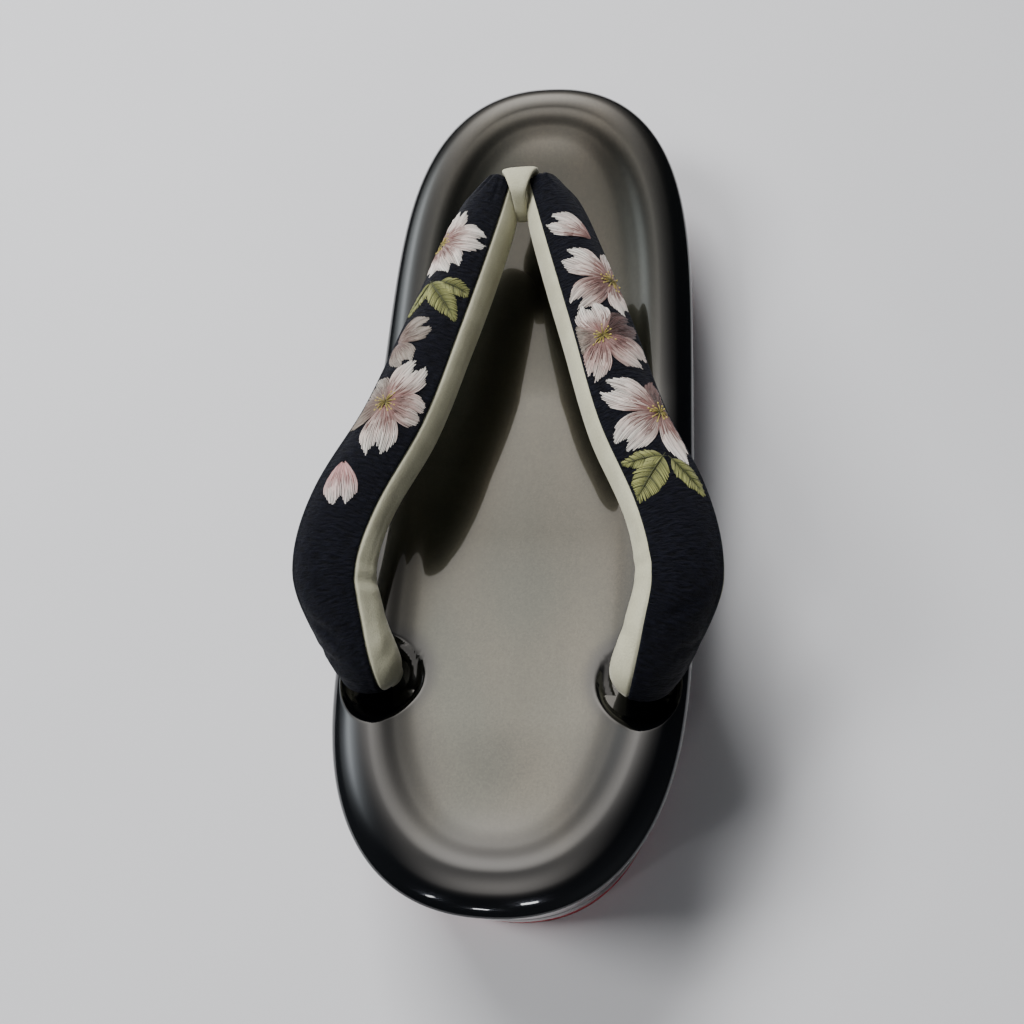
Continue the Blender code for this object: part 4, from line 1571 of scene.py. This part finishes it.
make_heel_lift(rubber)
make_layer("outsole", OUTSOLE_EDGE, outsole_bottom, outsole_top, rubber)
lower_layer = make_layer("lower_layer", LOWER_EDGE, lower_bottom, lower_top, enamel)
wedge = make_layer("wedge", WEDGE_EDGE, wedge_bottom, wedge_top, enamel)
# Painted sheen and shade stored on each enamelled piece
for side_piece in (make_piping(enamel), lower_layer, wedge):
    paint_sheen(side_piece, side_painted_sheen)
paint_sheen(make_board(enamel), board_painted_sheen)

strap = strap_grid()
strap = swell(strap)
fine_strap = finer_grid(strap)
straps = {side: creased(mirrored(fine_strap, side), side) for side in SIDE_NAMES}
make_lining(straps.values(), velvet)
make_thong(velvet)
threads = thread_tree()
for strap_side, strap_points in straps.items():
    make_cover(strap_side, strap_points, crepe)
    make_embroidery(strap_side, strap_points, threads, silk)


# Floor, light and camera
FLOOR_HALF = 6.0
PAPER_TONES = ((0.3, (0.69, 0.69, 0.71)), (0.7, (0.73, 0.73, 0.75)))


def make_floor():
    """A plain floor of pale paper."""
    corners = [(x * FLOOR_HALF, y * FLOOR_HALF, 0.0) for x, y in ((-1, -1), (1, -1), (1, 1), (-1, 1))]
    mesh = face_mesh("floor", corners, [(0, 1, 2, 3)])
    floor = bpy.data.objects.new("floor", mesh)
    bpy.context.scene.collection.objects.link(floor)
    material, tree, shader = start_material("pale_paper")
    drift = object_noise(tree, scale=6.0, detail=3.0)
    fill_sockets(tree, shader, Base_Color=add_ramp(tree, drift, PAPER_TONES), Roughness=0.7)
    mesh.materials.append(material)


# Lamps: soft panels that light cloth and floor but leave no reflection, and small ones over the heel that
# leave the short highlights on its rim
Lamp = namedtuple("Lamp", "name place aim size power in_gloss")
HEEL_AIM = (0, -0.10, 0.05)
HEEL_POWER = 0.7
LAMPS = (
    Lamp("front_panel", (-0.35, 0.60, 1.00), (0, 0.02, 0.03), (0.6, 0.5), 17.0, False),
    Lamp("left_panel", (-1.0, -0.1, 1.2), (0, 0, 0.03), (0.5, 0.6), 16.0, False),
    Lamp("heel_lamp", (0.12, -0.62, 1.20), HEEL_AIM, (0.14, 0.05), HEEL_POWER, True),
    Lamp("heel_lamp", (-0.62, -0.66, 1.10), HEEL_AIM, (0.05, 0.14), HEEL_POWER, True),
    Lamp("heel_lamp", (-0.22, -0.95, 1.05), HEEL_AIM, (0.10, 0.05), HEEL_POWER, True),
)


def add_lamp(lamp):
    """A rectangular lamp turned towards its aim."""
    data = bpy.data.lights.new(lamp.name, "AREA")
    data.shape = "RECTANGLE"
    data.size, data.size_y = lamp.size
    data.energy = lamp.power
    light = bpy.data.objects.new(lamp.name, data)
    light.location = lamp.place
    light.rotation_mode = "QUATERNION"
    light.rotation_quaternion = (Vector(lamp.aim) - Vector(lamp.place)).to_track_quat("-Z", "Y")
    light.visible_glossy = lamp.in_gloss
    bpy.context.scene.collection.objects.link(light)


# A soft glow of the room: where it comes from, how tight it is, how strong, and its colour
Glow = namedtuple("Glow", "toward tightness strength colour")
GLOWS = (
    Glow((-0.14, 0.76, 0.64), 22.0, 5.4, (1.0, 0.945, 0.865)),
    Glow((-0.67, 0.46, 0.57), 50.0, 5.0, (0.93, 0.98, 1.0)),
    Glow((-0.10, 0.16, 0.97), 40.0, 2.8, (1.0, 0.94, 0.86)),
    Glow((-0.90, 0.10, 0.40), 3.0, 0.10, (0.85, 0.92, 1.0)),
    Glow((0.80, -0.30, 0.55), 6.0, 0.12, (0.90, 0.95, 1.0)),
    Glow((0.10, -0.85, 0.35), 3.0, 0.07, (0.85, 0.92, 1.0)),
)
ROOM_LIGHT = (0.030, 0.033, 0.040)


def add_vector_maths(tree, operation, *values, output="Vector"):
    return add_maths(tree, operation, *values, kind="ShaderNodeVectorMath", output=output)


def scaled(tree, vector, scale):
    node = add_node(tree, "ShaderNodeVectorMath", {"operation": "SCALE"}, Vector=vector, Scale=scale)
    return node.outputs["Vector"]


def glow_seen(tree, direction, glow):
    """What shows of a glow in a direction: full towards it, and fading round it."""
    toward = Vector(glow.toward).normalized()
    facing = add_vector_maths(tree, "DOT_PRODUCT", direction, toward, output="Value")
    ahead = add_maths(tree, "MAXIMUM", facing, 0.0)
    tight = add_maths(tree, "POWER", ahead, glow.tightness)
    return scaled(tree, [glow.strength * part for part in glow.colour], tight)


def make_room():
    """A dim room with a few soft glows in it, which only gloss such as the enamel's mirrors."""
    world = bpy.data.worlds.new("studio")
    bpy.context.scene.world = world
    world.use_nodes = True
    tree = world.node_tree
    direction = tree.nodes.new("ShaderNodeTexCoord").outputs["Generated"]
    glossy = tree.nodes.new("ShaderNodeLightPath").outputs["Is Glossy Ray"]
    total = glow_seen(tree, direction, GLOWS[0])
    for glow in GLOWS[1:]:
        total = add_vector_maths(tree, "ADD", total, glow_seen(tree, direction, glow))
    room = add_vector_maths(tree, "ADD", scaled(tree, total, glossy), ROOM_LIGHT)
    fill_sockets(tree, tree.nodes["Background"], Color=room, Strength=1.0)


CAMERA_PLACE = Vector((0.0352, -0.1455, 0.28595))
CAMERA_AIM = Vector((-0.003, -0.020, 0.030))
CAMERA_ROLL = math.radians(-14.7)
CAMERA_LENS = 40.0
CAMERA_SENSOR = 36.0
CAMERA_NEAREST = 0.01


def make_camera():
    """The camera at the photo's angle to the sandal."""
    data = bpy.data.cameras.new("camera")
    data.sensor_width = CAMERA_SENSOR
    data.lens = CAMERA_LENS
    data.clip_start = CAMERA_NEAREST
    camera = bpy.data.objects.new("camera", data)
    camera.location = CAMERA_PLACE
    look = (CAMERA_AIM - CAMERA_PLACE).to_track_quat("-Z", "Y").to_matrix().to_4x4()
    camera.rotation_euler = (look @ Matrix.Rotation(CAMERA_ROLL, 4, "Z")).to_euler()
    bpy.context.scene.collection.objects.link(camera)
    bpy.context.scene.camera = camera


make_floor()
for lamp in LAMPS:
    add_lamp(lamp)
make_room()
make_camera()
